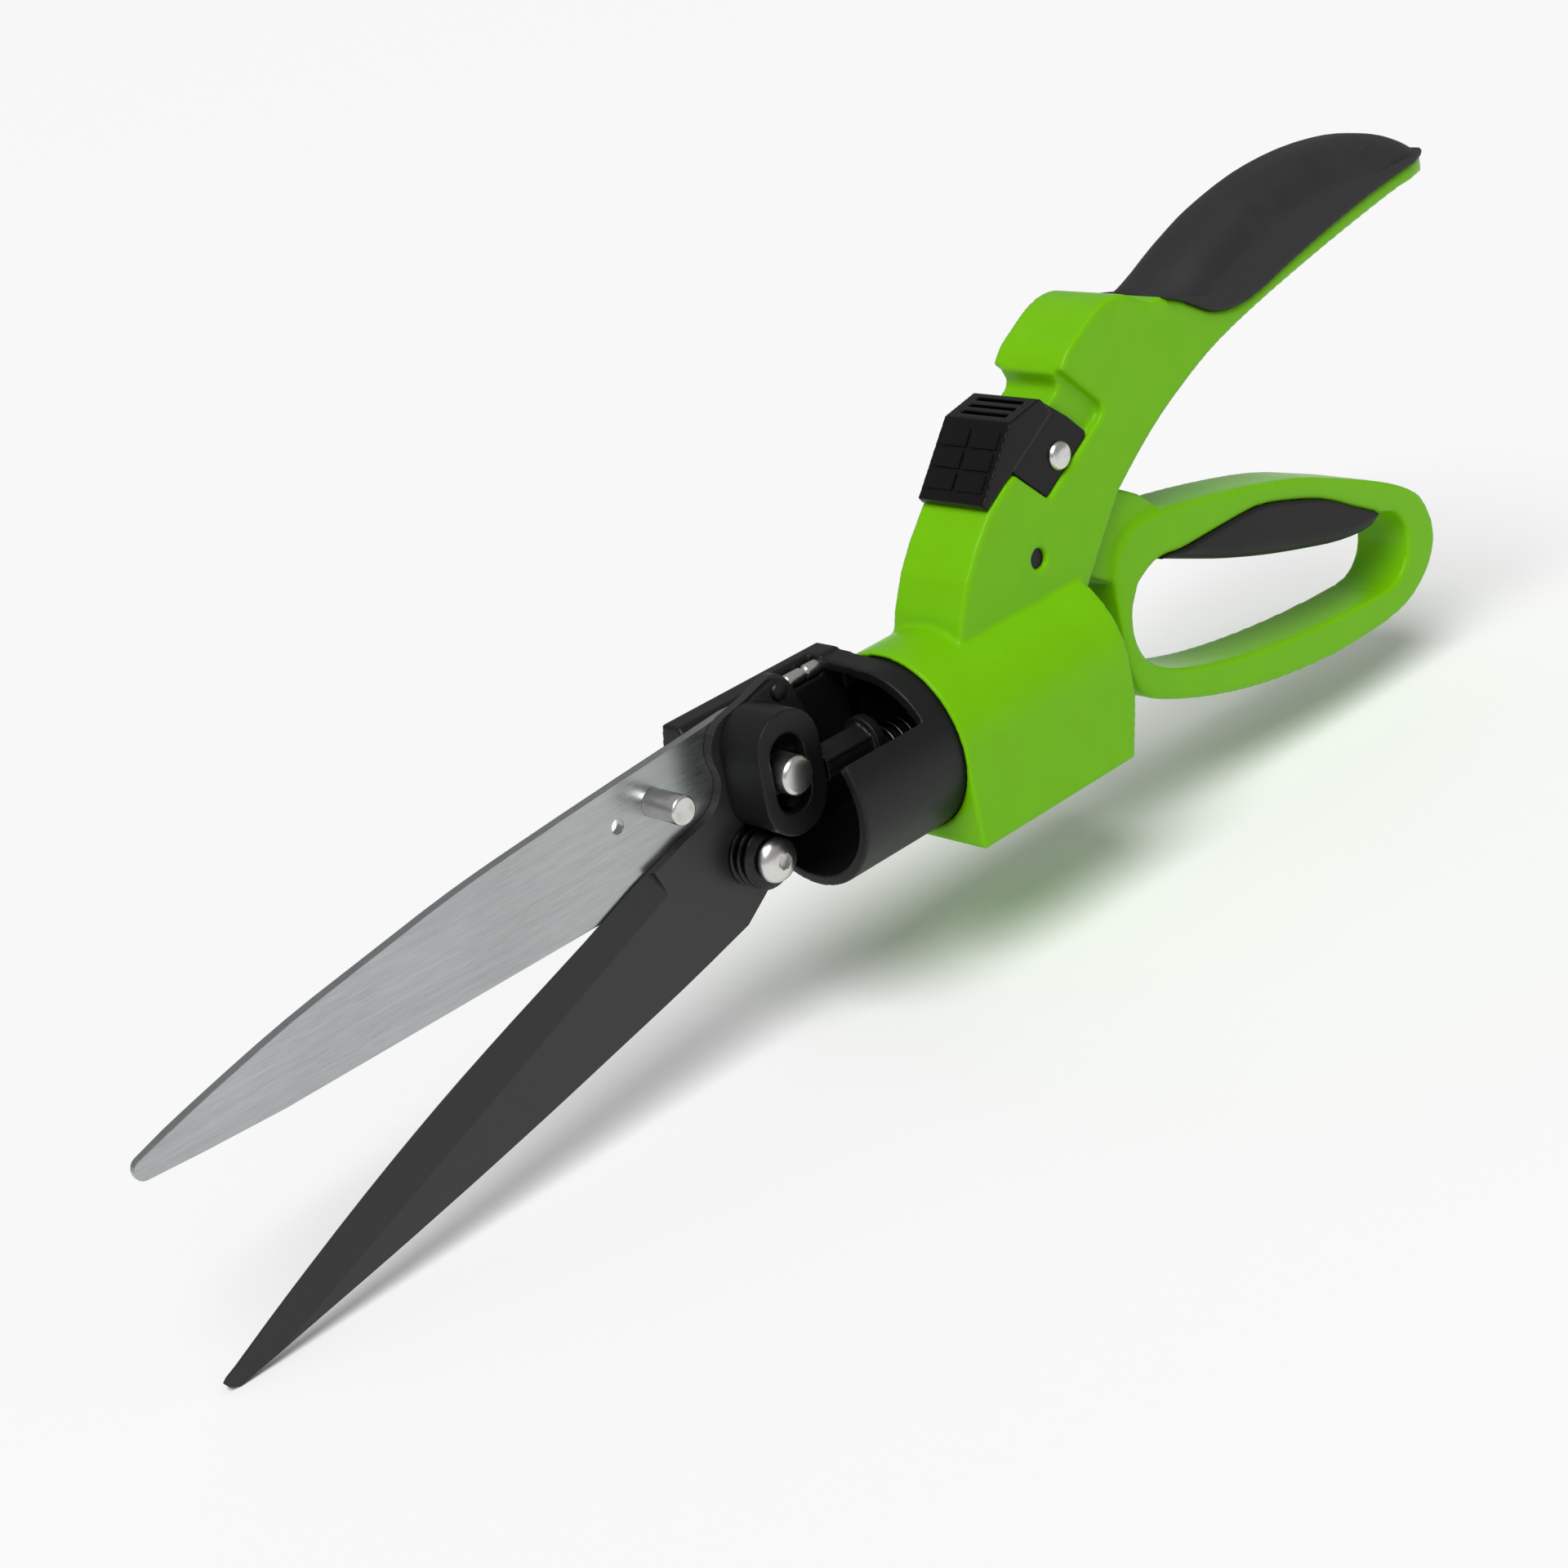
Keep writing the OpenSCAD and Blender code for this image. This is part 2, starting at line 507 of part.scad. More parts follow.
module lock_nut() {
    translate(base) color(steel) difference() {
        union() {
            translate([blade_pivot[0], -side_y, blade_pivot[1]]) rotate([90, 0, 0])
                cylinder(r = screw_d / 2 + 2.1, h = 3, $fn = 6);
            pin_y(blade_pivot, screw_d / 2 + 1.2, -side_y - 4, -side_y - 3);
        }
        pin_y(blade_pivot, screw_d / 2 + run_gap, -side_y - 5, -side_y + 1);
    }
}

// ---- moving blade with its boss
moving_edge = curve([[174.5, -47.4], [160, -40.2], [140, -31], [120, -22.7], [100, -15.4], [80, -8.6],
    [66, -3.4], [58, -1]]);
moving_shoulder = curve([[52, 1], [46, 2.4], [42.4, 4.8], [40.6, 9], [41.5, 14.5], [38.5, 19.6],
    [31, 21.6], [23.2, 23.9]]);
moving_back = curve([[42, -22.8], [60, -27.4], [80, -31.9], [100, -36.3], [120, -40.4], [140, -44.2],
    [160, -47.7], [172, -49.9]]);
boss_rivet_places = [[19.5, 10], [22.6, 20.4]];
module moving_blade() {
    translate(base) color(dark_steel) difference() {
        side(concat(blade_pts(moving_edge), blade_pts(moving_shoulder), [[21.6, 23.7], [20, 22.6], [18.4, 20.4],
            [16.4, 15], [14.6, 7], [14, 1], [16.5, -4]], arc(blade_pivot, 9.4, 180, 260, 6),
            blade_pts(moving_back), blade_pts([[175.4, -50.6], [177.4, -49.9], [177.8, -49.2], [177, -48.5]])),
            moving_y0, moving_y1);
        ground([bx(61.9), -0.6], [bx(181), -46.4], bevel_w, -1, moving_y1, moving_y0 + edge_land);
        pin_y(blade_pivot, screw_d / 2 + run_gap, moving_y0 - 1, moving_y1 + 1);
        for (p = boss_rivet_places) pin_y(p, 1.2, moving_y0 - 1, moving_y1 + 1);
    }
}
boss_wall_y0 = 1.5;             // far face of the boss's slotted wall
boss_wall_y1 = 4.5;             // its near face
boss_r = 8.2;
boss_wall = 1.6;
boss_a = [31.2, 13.2];          // centres of the boss's two round ends
boss_b = [31.6, 3.4];
slot_r = pin_head_d / 2 + 0.5;
function oval(a, b, r) = let (t = atan2(a[1] - b[1], a[0] - b[0]))
    concat(arc(a, r, t - 90, t + 90, 14), arc(b, r, t + 90, t + 270, 14));
module blade_boss() {
    translate(base) color(black) difference() {
        union() {
            side(oval(boss_a, boss_b, boss_r), moving_y1, boss_wall_y1);
            // foot plate riveted to the blade
            side([[31, 21.2], [23.4, 23.2], [20.4, 22], [18.8, 20], [16.8, 14.8], [15.2, 7.2], [16, 3],
                [24, 0], [30, 10]], moving_y1, moving_y1 + 1.2);
        }
        // hollow for the rod's eye, open to the rear
        side(oval(boss_a, boss_b, boss_r - boss_wall), moving_y1 + 1.2, boss_wall_y0);
        side([[10, 17], [28, 17], [28, -3.4], [10, -3.4]], moving_y1 + 1.2, boss_wall_y0);
        // slot for the drive pin's head
        side(oval([drive[0], drive[1] + 3.9], [drive[0], drive[1] - 3.9], slot_r),
            boss_wall_y0 - 1, boss_wall_y1 + 1);
        // room for the spring washers and the screw's head
        pin_y(blade_pivot, washer_r + 0.3, moving_y1 - 1, head_y + 0.3);
        pin_y(blade_pivot, head_r + 0.3, head_y, boss_wall_y1 + 1);
        for (p = boss_rivet_places) pin_y(p, 1.2, moving_y1 - 1, moving_y1 + 3);
    }
}
module boss_rivets() {
    translate(base) color(steel) for (p = boss_rivet_places)
        turned_y(p, [[0, moving_y0], [1.2, moving_y0], [1.2, moving_y1 + 1.2], [2.1, moving_y1 + 1.2],
            [1.7, moving_y1 + 1.9], [0, moving_y1 + 2.1]]);
}

// ---- push rod and drive pin
eye_r = 4.2;
eye_y0 = -4.6;
eye_y1 = boss_wall_y0 - 0.3;
pin_end = 7;                    // outer end of the drive pin's head
groove = fork_r + face_gap;     // half width of the spool's groove
spool_r = 6.5;
spool_flange = 0.8;             // half thickness of the spool's flanges
module push_rod() {
    r = rod_d / 2;
    translate(base) color(black) difference() {
        union() {
            // stem on the swivel axis, with the spool that the fork pulls
            pin_x(0, 0, stem_d / 2, spool_x + groove, 8);
            pin_x(0, 0, 3.2, spool_x - groove - 0.1, spool_x + groove + 0.1);
            for (s = [-1, 1]) let (x = spool_x + s * (groove + spool_flange))
                pin_x(0, 0, spool_r, x - spool_flange, x + spool_flange);
            // collar, and the raised front part
            along_x(6.9, 9.2) {
                circle(r = 6.6);
                translate([0, rod_rise]) circle(r = 5.2);
            }
            pin_x(0, rod_rise, r, 8, 22);
            for (a = [0:60:300]) translate([0, 0, rod_rise]) rotate([a, 0, 0])
                translate([9, -0.5, 0]) cube([13, 1, r + 0.35]);
            // flattened tongue with the eye
            side([[20, rod_rise - r + 0.2], [20, rod_rise + r - 0.2], [drive[0] - 3, drive[1] + 3.6],
                [drive[0], drive[1]], [drive[0] + 2, drive[1] - 4.4]], eye_y0, eye_y1);
            pin_y(drive, eye_r, eye_y0, eye_y1);
        }
        pin_y(drive, pin_shank_d / 2, eye_y0 - 1, eye_y1 + 1);
    }
}
module drive_pin() {
    r = pin_shank_d / 2;
    R = pin_head_d / 2;
    translate(base) color(steel) turned_y(drive, [[0, eye_y0 - 0.9], [r, eye_y0 - 0.9], [r, eye_y1],
        [R, eye_y1], [R, pin_end - 0.7], [R - 0.6, pin_end], [0, pin_end]]);
}
module drive_pin_clip() {
    translate(base) color(steel) difference() {
        pin_y(drive, eye_r - 0.4, eye_y0 - 0.6, eye_y0);
        pin_y(drive, pin_shank_d / 2, eye_y0 - 1, eye_y0 + 1);
    }
}
module return_spring() {
    translate(base) color(dark_steel) coil(stem_d / 2 + 1.2, 0.6, -5.9, 6.8, 4.5);
}

housing();
upper_grip();
handle_pivot_pin();
lower_handle();
finger_pad();
lock_slider();
slider_pin();
swivel_carrier();
swivel_retainer();
swivel_washer();
detent_ball();
detent_spring();
fixed_blade();
blade_rivets();
stop_pin();
locating_pin();
pivot_screw();
pivot_bush();
spring_washers();
lock_nut();
moving_blade();
blade_boss();
boss_rivets();
push_rod();
drive_pin();
drive_pin_clip();
return_spring();
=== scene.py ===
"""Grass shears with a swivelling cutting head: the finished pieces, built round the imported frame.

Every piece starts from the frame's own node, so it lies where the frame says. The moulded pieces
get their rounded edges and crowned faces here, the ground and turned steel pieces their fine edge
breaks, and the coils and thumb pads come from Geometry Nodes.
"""
import json
import logging
import math
from dataclasses import dataclass, field
from enum import Enum

import bmesh
import bpy
import numpy as np
from mathutils import Matrix, Quaternion, Vector


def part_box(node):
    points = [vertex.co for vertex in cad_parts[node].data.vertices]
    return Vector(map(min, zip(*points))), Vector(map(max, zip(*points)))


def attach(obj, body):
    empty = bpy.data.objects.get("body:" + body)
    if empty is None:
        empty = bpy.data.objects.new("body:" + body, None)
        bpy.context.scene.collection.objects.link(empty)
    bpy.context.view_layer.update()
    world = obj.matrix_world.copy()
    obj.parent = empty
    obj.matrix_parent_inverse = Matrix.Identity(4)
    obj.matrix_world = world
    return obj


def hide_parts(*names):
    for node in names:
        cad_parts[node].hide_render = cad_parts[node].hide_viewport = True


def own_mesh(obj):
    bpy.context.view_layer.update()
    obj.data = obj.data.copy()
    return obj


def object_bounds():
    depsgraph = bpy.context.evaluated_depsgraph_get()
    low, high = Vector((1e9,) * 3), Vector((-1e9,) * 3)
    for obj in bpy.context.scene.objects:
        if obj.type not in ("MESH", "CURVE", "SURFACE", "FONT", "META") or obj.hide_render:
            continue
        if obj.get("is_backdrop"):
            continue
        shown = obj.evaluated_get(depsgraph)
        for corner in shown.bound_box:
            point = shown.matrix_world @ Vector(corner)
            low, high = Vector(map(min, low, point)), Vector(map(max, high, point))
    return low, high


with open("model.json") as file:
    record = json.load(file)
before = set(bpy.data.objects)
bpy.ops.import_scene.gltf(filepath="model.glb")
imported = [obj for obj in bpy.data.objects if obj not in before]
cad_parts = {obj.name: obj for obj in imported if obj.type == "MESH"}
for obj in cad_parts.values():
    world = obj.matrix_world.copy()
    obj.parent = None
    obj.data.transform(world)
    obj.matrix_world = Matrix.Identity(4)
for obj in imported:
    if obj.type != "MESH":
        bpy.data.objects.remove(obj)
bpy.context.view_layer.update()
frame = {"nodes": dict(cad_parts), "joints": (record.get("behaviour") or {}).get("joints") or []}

Triple = tuple[float, float, float]
Colour = tuple[float, float, float, float]

LOG = logging.getLogger("shears")
MM = 0.001
WELD = 1e-6
FLAT_DEG = 0.4
CREASE_DEG = 28.0
GROUND_CREASE_DEG = 8.0
SMOOTH_DEG = 180.0
COIL_STEPS = 40
WIRE_SIDES = 12
BAR_LEVEL = 2
BAR_CREASE = 0.55
BROKEN_EDGE_MM = {
    "slider_pin": 0.12, "fixed_blade": 0.12, "stop_pin": 0.15, "locating_pin": 0.1, "pivot_screw": 0.12,
    "spring_washers": 0.08, "lock_nut": 0.2, "blade_rivets": 0.12, "moving_blade": 0.14,
    "boss_rivets": 0.1, "drive_pin": 0.15}


class Body(str, Enum):
    """The rigid bodies that a piece can ride on."""

    HOUSING = "housing"
    LOWER_HANDLE = "lower_handle"
    LOCK_SLIDER = "lock_slider"
    HEAD = "swivel_head"
    MOVING_BLADE = "moving_blade"
    PUSH_ROD = "push_rod"


class Slot(str, Enum):
    """The material slots that a piece can take its finish from."""

    GREEN = "green_plastic"
    GRIP = "grip_rubber"
    PAD = "pad_rubber"
    BLACK = "black_plastic"
    SLIDER = "slider_plastic"
    WASHER = "washer_plastic"
    BLADE = "blade_steel"
    COATED = "coated_steel"
    BLACK_STEEL = "black_steel"
    PIN = "pin_steel"
    SPRING = "spring_steel"


# ---------------------------------------------------------------- shader maths


class Value:
    """A number in a shader tree; Python's operators on it add Math nodes."""

    def __init__(self, paint: "Paint", socket: bpy.types.NodeSocket) -> None:
        """Wraps an output socket.

        Args:
            paint: the material that the socket belongs to.
            socket: the output to wrap.
        """
        self.paint = paint
        self.socket = socket

    def maths(self, operation: str, *others: "Value | float",
              first: "Value | float | None" = None) -> "Value":
        """Adds one Math node.

        Args:
            operation: the Math node's operation.
            others: the inputs after this one.
            first: an input that comes before this one, for a reflected operator.

        Returns:
            The node's result.
        """
        inputs = [self, *others] if first is None else [first, self, *others]
        node = self.paint.node("ShaderNodeMath", {"operation": operation}, dict(enumerate(inputs)))
        return Value(self.paint, node.outputs[0])

    def __add__(self, other: "Value | float") -> "Value":
        """Sum."""
        return self.maths("ADD", other)

    __radd__ = __add__

    def __sub__(self, other: "Value | float") -> "Value":
        """Difference."""
        return self.maths("SUBTRACT", other)

    def __rsub__(self, other: float) -> "Value":
        """Difference from a number."""
        return self.maths("SUBTRACT", first=other)

    def __mul__(self, other: "Value | float") -> "Value":
        """Product."""
        return self.maths("MULTIPLY", other)

    __rmul__ = __mul__

    def ramped(self, low: float, high: float) -> "Value":
        """Maps low..high to 0..1, smoothly and clamped.

        Args:
            low: the value that becomes 0.
            high: the value that becomes 1.

        Returns:
            The mapped value.
        """
        node = self.paint.node("ShaderNodeMapRange", {"interpolation_type": "SMOOTHSTEP"},
                               {"Value": self, "From Min": low, "From Max": high})
        return Value(self.paint, node.outputs["Result"])


class Paint:
    """One material's node tree, with a Principled shader."""

    def __init__(self, name: str) -> None:
        """Starts an empty material.

        Args:
            name: the material's name.
        """
        self.material = bpy.data.materials.new(name)
        self.material.use_nodes = True
        self.tree = self.material.node_tree
        self.tree.nodes.clear()
        self.shader = self.node("ShaderNodeBsdfPrincipled", {}, {})
        self.node("ShaderNodeOutputMaterial", {}, {"Surface": self.shader.outputs["BSDF"]})
        self.place = self.node("ShaderNodeTexCoord", {}, {}).outputs["Object"]

    def node(self, kind: str, settings: dict, inputs: dict) -> bpy.types.Node:
        """Adds a node.

        Args:
            kind: the node's type.
            settings: its properties, which are set first.
            inputs: values or links by socket name or number.

        Returns:
            The new node.
        """
        node = self.tree.nodes.new(kind)
        for key, value in settings.items():
            setattr(node, key, value)
        for key, value in inputs.items():
            if isinstance(value, Value):
                value = value.socket
            if isinstance(value, bpy.types.NodeSocket):
                self.tree.links.new(value, node.inputs[key])
            else:
                node.inputs[key].default_value = value
        return node

    def stretched(self, scale: Triple, turn: Triple = (0.0, 0.0, 0.0)) -> bpy.types.NodeSocket:
        """Object coordinates, turned and stretched.

        Args:
            scale: the factor along each axis.
            turn: the rotation in radians.

        Returns:
            The vector output.
        """
        node = self.node("ShaderNodeMapping", {}, {"Vector": self.place, "Scale": scale, "Rotation": turn})
        return node.outputs["Vector"]

    def noise(self, size_mm: float, detail: float = 2.0, roughness: float = 0.5,
              where: bpy.types.NodeSocket | None = None) -> Value:
        """Noise with features of about the given size.

        Args:
            size_mm: the size of a feature.
            detail: the number of octaves.
            roughness: how strong the finer octaves are.
            where: coordinates, or None for the plain object coordinates.

        Returns:
            The noise, about 0.5 on average.
        """
        node = self.node("ShaderNodeTexNoise", {}, {
            "Vector": where or self.place, "Scale": 1.0 / (size_mm * MM),
            "Detail": detail, "Roughness": roughness})
        return Value(self, node.outputs[0])

    def cells(self, size_mm: float) -> Value:
        """Distance to the nearest of scattered points, 0 at the points.

        Args:
            size_mm: the distance between the points.

        Returns:
            The distance.
        """
        node = self.node("ShaderNodeTexVoronoi", {}, {"Vector": self.place, "Scale": 1.0 / (size_mm * MM)})
        return Value(self, node.outputs["Distance"])

    def blend(self, factor: Value, a: Colour, b: Colour) -> bpy.types.NodeSocket:
        """Mixes two colours.

        Args:
            factor: 0 for a, 1 for b.
            a: the first colour.
            b: the second colour.

        Returns:
            The colour output.
        """
        node = self.node("ShaderNodeMix", {"data_type": "RGBA"}, {0: factor, 6: a, 7: b})
        return node.outputs[2]

    def relief(self, height: Value, depth_mm: float) -> bpy.types.NodeSocket:
        """Turns a height into a normal.

        Args:
            height: the height, 0 to 1.
            depth_mm: the depth that 1 stands for.

        Returns:
            The normal output.
        """
        node = self.node("ShaderNodeBump", {}, {"Height": height, "Distance": depth_mm * MM, "Strength": 1.0})
        return node.outputs["Normal"]

    def finish(self, fixed: dict, varying: dict) -> bpy.types.Material:
        """Sets the shader's sockets.

        Args:
            fixed: constants by socket name.
            varying: outputs by socket name.

        Returns:
            The material.
        """
        for key, value in fixed.items():
            self.shader.inputs[key].default_value = value
        for key, value in varying.items():
            socket = value.socket if isinstance(value, Value) else value
            self.tree.links.new(socket, self.shader.inputs[key])
        return self.material


# ---------------------------------------------------------------- finishes


def tinted(colour: Triple, factor: float) -> Colour:
    """A colour times a factor, with alpha.

    Args:
        colour: red, green and blue.
        factor: the factor.

    Returns:
        The colour with alpha 1.
    """
    return (colour[0] * factor, colour[1] * factor, colour[2] * factor, 1.0)


@dataclass(frozen=True)
class MouldedPlastic:
    """Injection-moulded plastic: a soft mottle and a fine spark-eroded grain."""

    name: str
    colour: Triple
    roughness: float
    mottle: float = 0.06
    mottle_mm: float = 9.0
    grain_mm: float = 0.35
    grain_depth_mm: float = 0.012
    specular: float = 0.5
    grain_rough: float = 0.08
    scuff_mm: float = 3.0
    scuff_range: tuple[float, float] = (0.42, 0.75)
    scuff_rough: float = 0.05

    def make(self) -> bpy.types.Material:
        """Builds the material."""
        paint = Paint(self.name)
        cloud = paint.noise(self.mottle_mm, 3.0)
        grain = paint.noise(self.grain_mm, 2.0, 0.6)
        scuff = paint.noise(self.scuff_mm, 4.0, 0.7).ramped(*self.scuff_range)
        base = paint.blend(cloud, tinted(self.colour, 1 - self.mottle), tinted(self.colour, 1 + self.mottle))
        rough = self.roughness + (grain - 0.5) * self.grain_rough + scuff * self.scuff_rough
        return paint.finish({"Specular IOR Level": self.specular},
                            {"Base Color": base, "Roughness": rough,
                             "Normal": paint.relief(grain, self.grain_depth_mm)})


@dataclass(frozen=True)
class SoftRubber:
    """Soft overmoulded rubber: matte, with a pebbled grain and a faint bloom."""

    name: str
    colour: Triple
    roughness: float = 0.62
    pebble_mm: float = 0.42
    pebble_depth_mm: float = 0.02
    pebble_rough: float = 0.08
    bloom_mm: float = 14.0
    bloom_range: tuple[float, float] = (0.35, 0.8)
    bloom_share: float = 0.7
    bloom_rough: float = 0.1
    dust_mm: float = 0.9
    dust_range: tuple[float, float] = (0.5, 0.9)
    dust_share: float = 0.3
    tones: tuple[float, float] = (0.88, 1.3)
    specular: float = 0.24

    def make(self) -> bpy.types.Material:
        """Builds the material."""
        paint = Paint(self.name)
        pebble = paint.cells(self.pebble_mm)
        bloom = paint.noise(self.bloom_mm, 4.0, 0.6).ramped(*self.bloom_range)
        dust = paint.noise(self.dust_mm, 3.0, 0.7).ramped(*self.dust_range)
        mixed = bloom * self.bloom_share + dust * self.dust_share
        base = paint.blend(mixed, tinted(self.colour, self.tones[0]), tinted(self.colour, self.tones[1]))
        rough = self.roughness + bloom * self.bloom_rough - pebble * self.pebble_rough
        return paint.finish({"Specular IOR Level": self.specular},
                            {"Base Color": base, "Roughness": rough,
                             "Normal": paint.relief(pebble, self.pebble_depth_mm)})


@dataclass(frozen=True)
class GroundSteel:
    """Sheet steel ground along X: long fine streaks over a slow cloud."""

    name: str
    colour: Triple
    roughness: float = 0.3
    streak_mm: float = 0.22
    streak_length: float = 26.0
    streak_depth_mm: float = 0.006
    streak_rough: float = 0.22
    broad_times: float = 5
    cloud_mm: float = 22.0
    cloud_rough: float = 0.08
    shares: Triple = (0.55, 0.25, 0.2)
    tones: tuple[float, float] = (0.5, 1.45)

    def make(self) -> bpy.types.Material:
        """Builds the material."""
        paint = Paint(self.name)
        along = paint.stretched((1.0 / self.streak_length, 1.0, 1.0))
        fine = paint.noise(self.streak_mm, 3.0, 0.65, along)
        broad = paint.noise(self.streak_mm * self.broad_times, 2.0, 0.5, along)
        cloud = paint.noise(self.cloud_mm, 2.0)
        mixed = fine * self.shares[0] + broad * self.shares[1] + cloud * self.shares[2]
        base = paint.blend(mixed, tinted(self.colour, self.tones[0]), tinted(self.colour, self.tones[1]))
        rough = self.roughness + (fine - 0.5) * self.streak_rough + (cloud - 0.5) * self.cloud_rough
        return paint.finish({"Metallic": 1.0},
                            {"Base Color": base, "Roughness": rough,
                             "Normal": paint.relief(fine, self.streak_depth_mm)})


@dataclass(frozen=True)
class CoatedSteel:
    """Blade steel under a dark non-stick coating: satin, finely speckled, with long rub marks."""

    name: str
    colour: Triple
    roughness: float = 0.42
    speckle_mm: float = 0.3
    speckle_depth_mm: float = 0.01
    speckle_share: float = 0.6
    speckle_rough: float = 0.14
    rub_mm: float = 0.5
    rub_length: float = 18.0
    rub_range: tuple[float, float] = (0.55, 0.85)
    rub_share: float = 0.4
    rub_rough: float = 0.06
    tones: tuple[float, float] = (0.8, 1.35)

    def make(self) -> bpy.types.Material:
        """Builds the material."""
        paint = Paint(self.name)
        speckle = paint.noise(self.speckle_mm, 2.0, 0.6)
        along = paint.stretched((1.0 / self.rub_length, 1.0, 1.0))
        rub = paint.noise(self.rub_mm, 2.0, 0.5, along).ramped(*self.rub_range)
        mixed = speckle * self.speckle_share + rub * self.rub_share
        base = paint.blend(mixed, tinted(self.colour, self.tones[0]), tinted(self.colour, self.tones[1]))
        rough = self.roughness + (speckle - 0.5) * self.speckle_rough + rub * self.rub_rough
        return paint.finish({"Specular IOR Level": 0.5},
                            {"Base Color": base, "Roughness": rough,
                             "Normal": paint.relief(speckle, self.speckle_depth_mm)})


@dataclass(frozen=True)
class TurnedSteel:
    """Small turned, pressed or drawn steel parts: bright or oiled, with faint tool marks."""

    name: str
    colour: Triple
    roughness: float = 0.2
    mark_mm: float = 0.5
    mark_depth_mm: float = 0.004
    mark_rough: float = 0.12
    tarnish_mm: float = 4.0
    tarnish_range: tuple[float, float] = (0.45, 0.8)
    tarnish_rough: float = 0.08
    tones: tuple[float, float] = (1.05, 0.78)

    def make(self) -> bpy.types.Material:
        """Builds the material."""
        paint = Paint(self.name)
        marks = paint.noise(self.mark_mm, 3.0, 0.6)
        tarnish = paint.noise(self.tarnish_mm, 3.0, 0.6).ramped(*self.tarnish_range)
        base = paint.blend(tarnish, tinted(self.colour, self.tones[0]), tinted(self.colour, self.tones[1]))
        rough = self.roughness + (marks - 0.5) * self.mark_rough + tarnish * self.tarnish_rough
        return paint.finish({"Metallic": 1.0},
                            {"Base Color": base, "Roughness": rough,
                             "Normal": paint.relief(marks, self.mark_depth_mm)})


FINISHES = {
    Slot.GREEN: MouldedPlastic("lime_plastic", (0.16, 0.48, 0.0002), 0.3, specular=0.16),
    Slot.GRIP: SoftRubber("grip_rubber", (0.024, 0.024, 0.025)),
    Slot.PAD: SoftRubber("pad_rubber", (0.009, 0.009, 0.0085), 0.5),
    Slot.BLACK: MouldedPlastic("black_nylon", (0.0055, 0.0055, 0.006), 0.42,
                               grain_depth_mm=0.014, specular=0.3),
    Slot.SLIDER: MouldedPlastic("slider_plastic", (0.0035, 0.0035, 0.0037), 0.27,
                                grain_depth_mm=0.02, specular=0.2),
    Slot.WASHER: MouldedPlastic("acetal", (0.7, 0.69, 0.65), 0.4),
    Slot.BLADE: GroundSteel("ground_steel", (0.43, 0.45, 0.455)),
    Slot.COATED: CoatedSteel("blade_coating", (0.017, 0.017, 0.0165)),
    Slot.BLACK_STEEL: MouldedPlastic("black_oxide", (0.004, 0.004, 0.004), 0.4, specular=0.3),
    Slot.PIN: TurnedSteel("bright_steel", (0.66, 0.65, 0.63), 0.3),
    Slot.SPRING: TurnedSteel("oiled_steel", (0.035, 0.035, 0.037), 0.26),
}
MADE: dict[Slot, bpy.types.Material] = {}


def material(slot: Slot) -> bpy.types.Material:
    """The finish of a slot, built once.

    Args:
        slot: the record's material slot.

    Returns:
        The material.
    """
    if slot not in MADE:
        MADE[slot] = FINISHES[slot].make()
    return MADE[slot]


# ---------------------------------------------------------------- mesh work


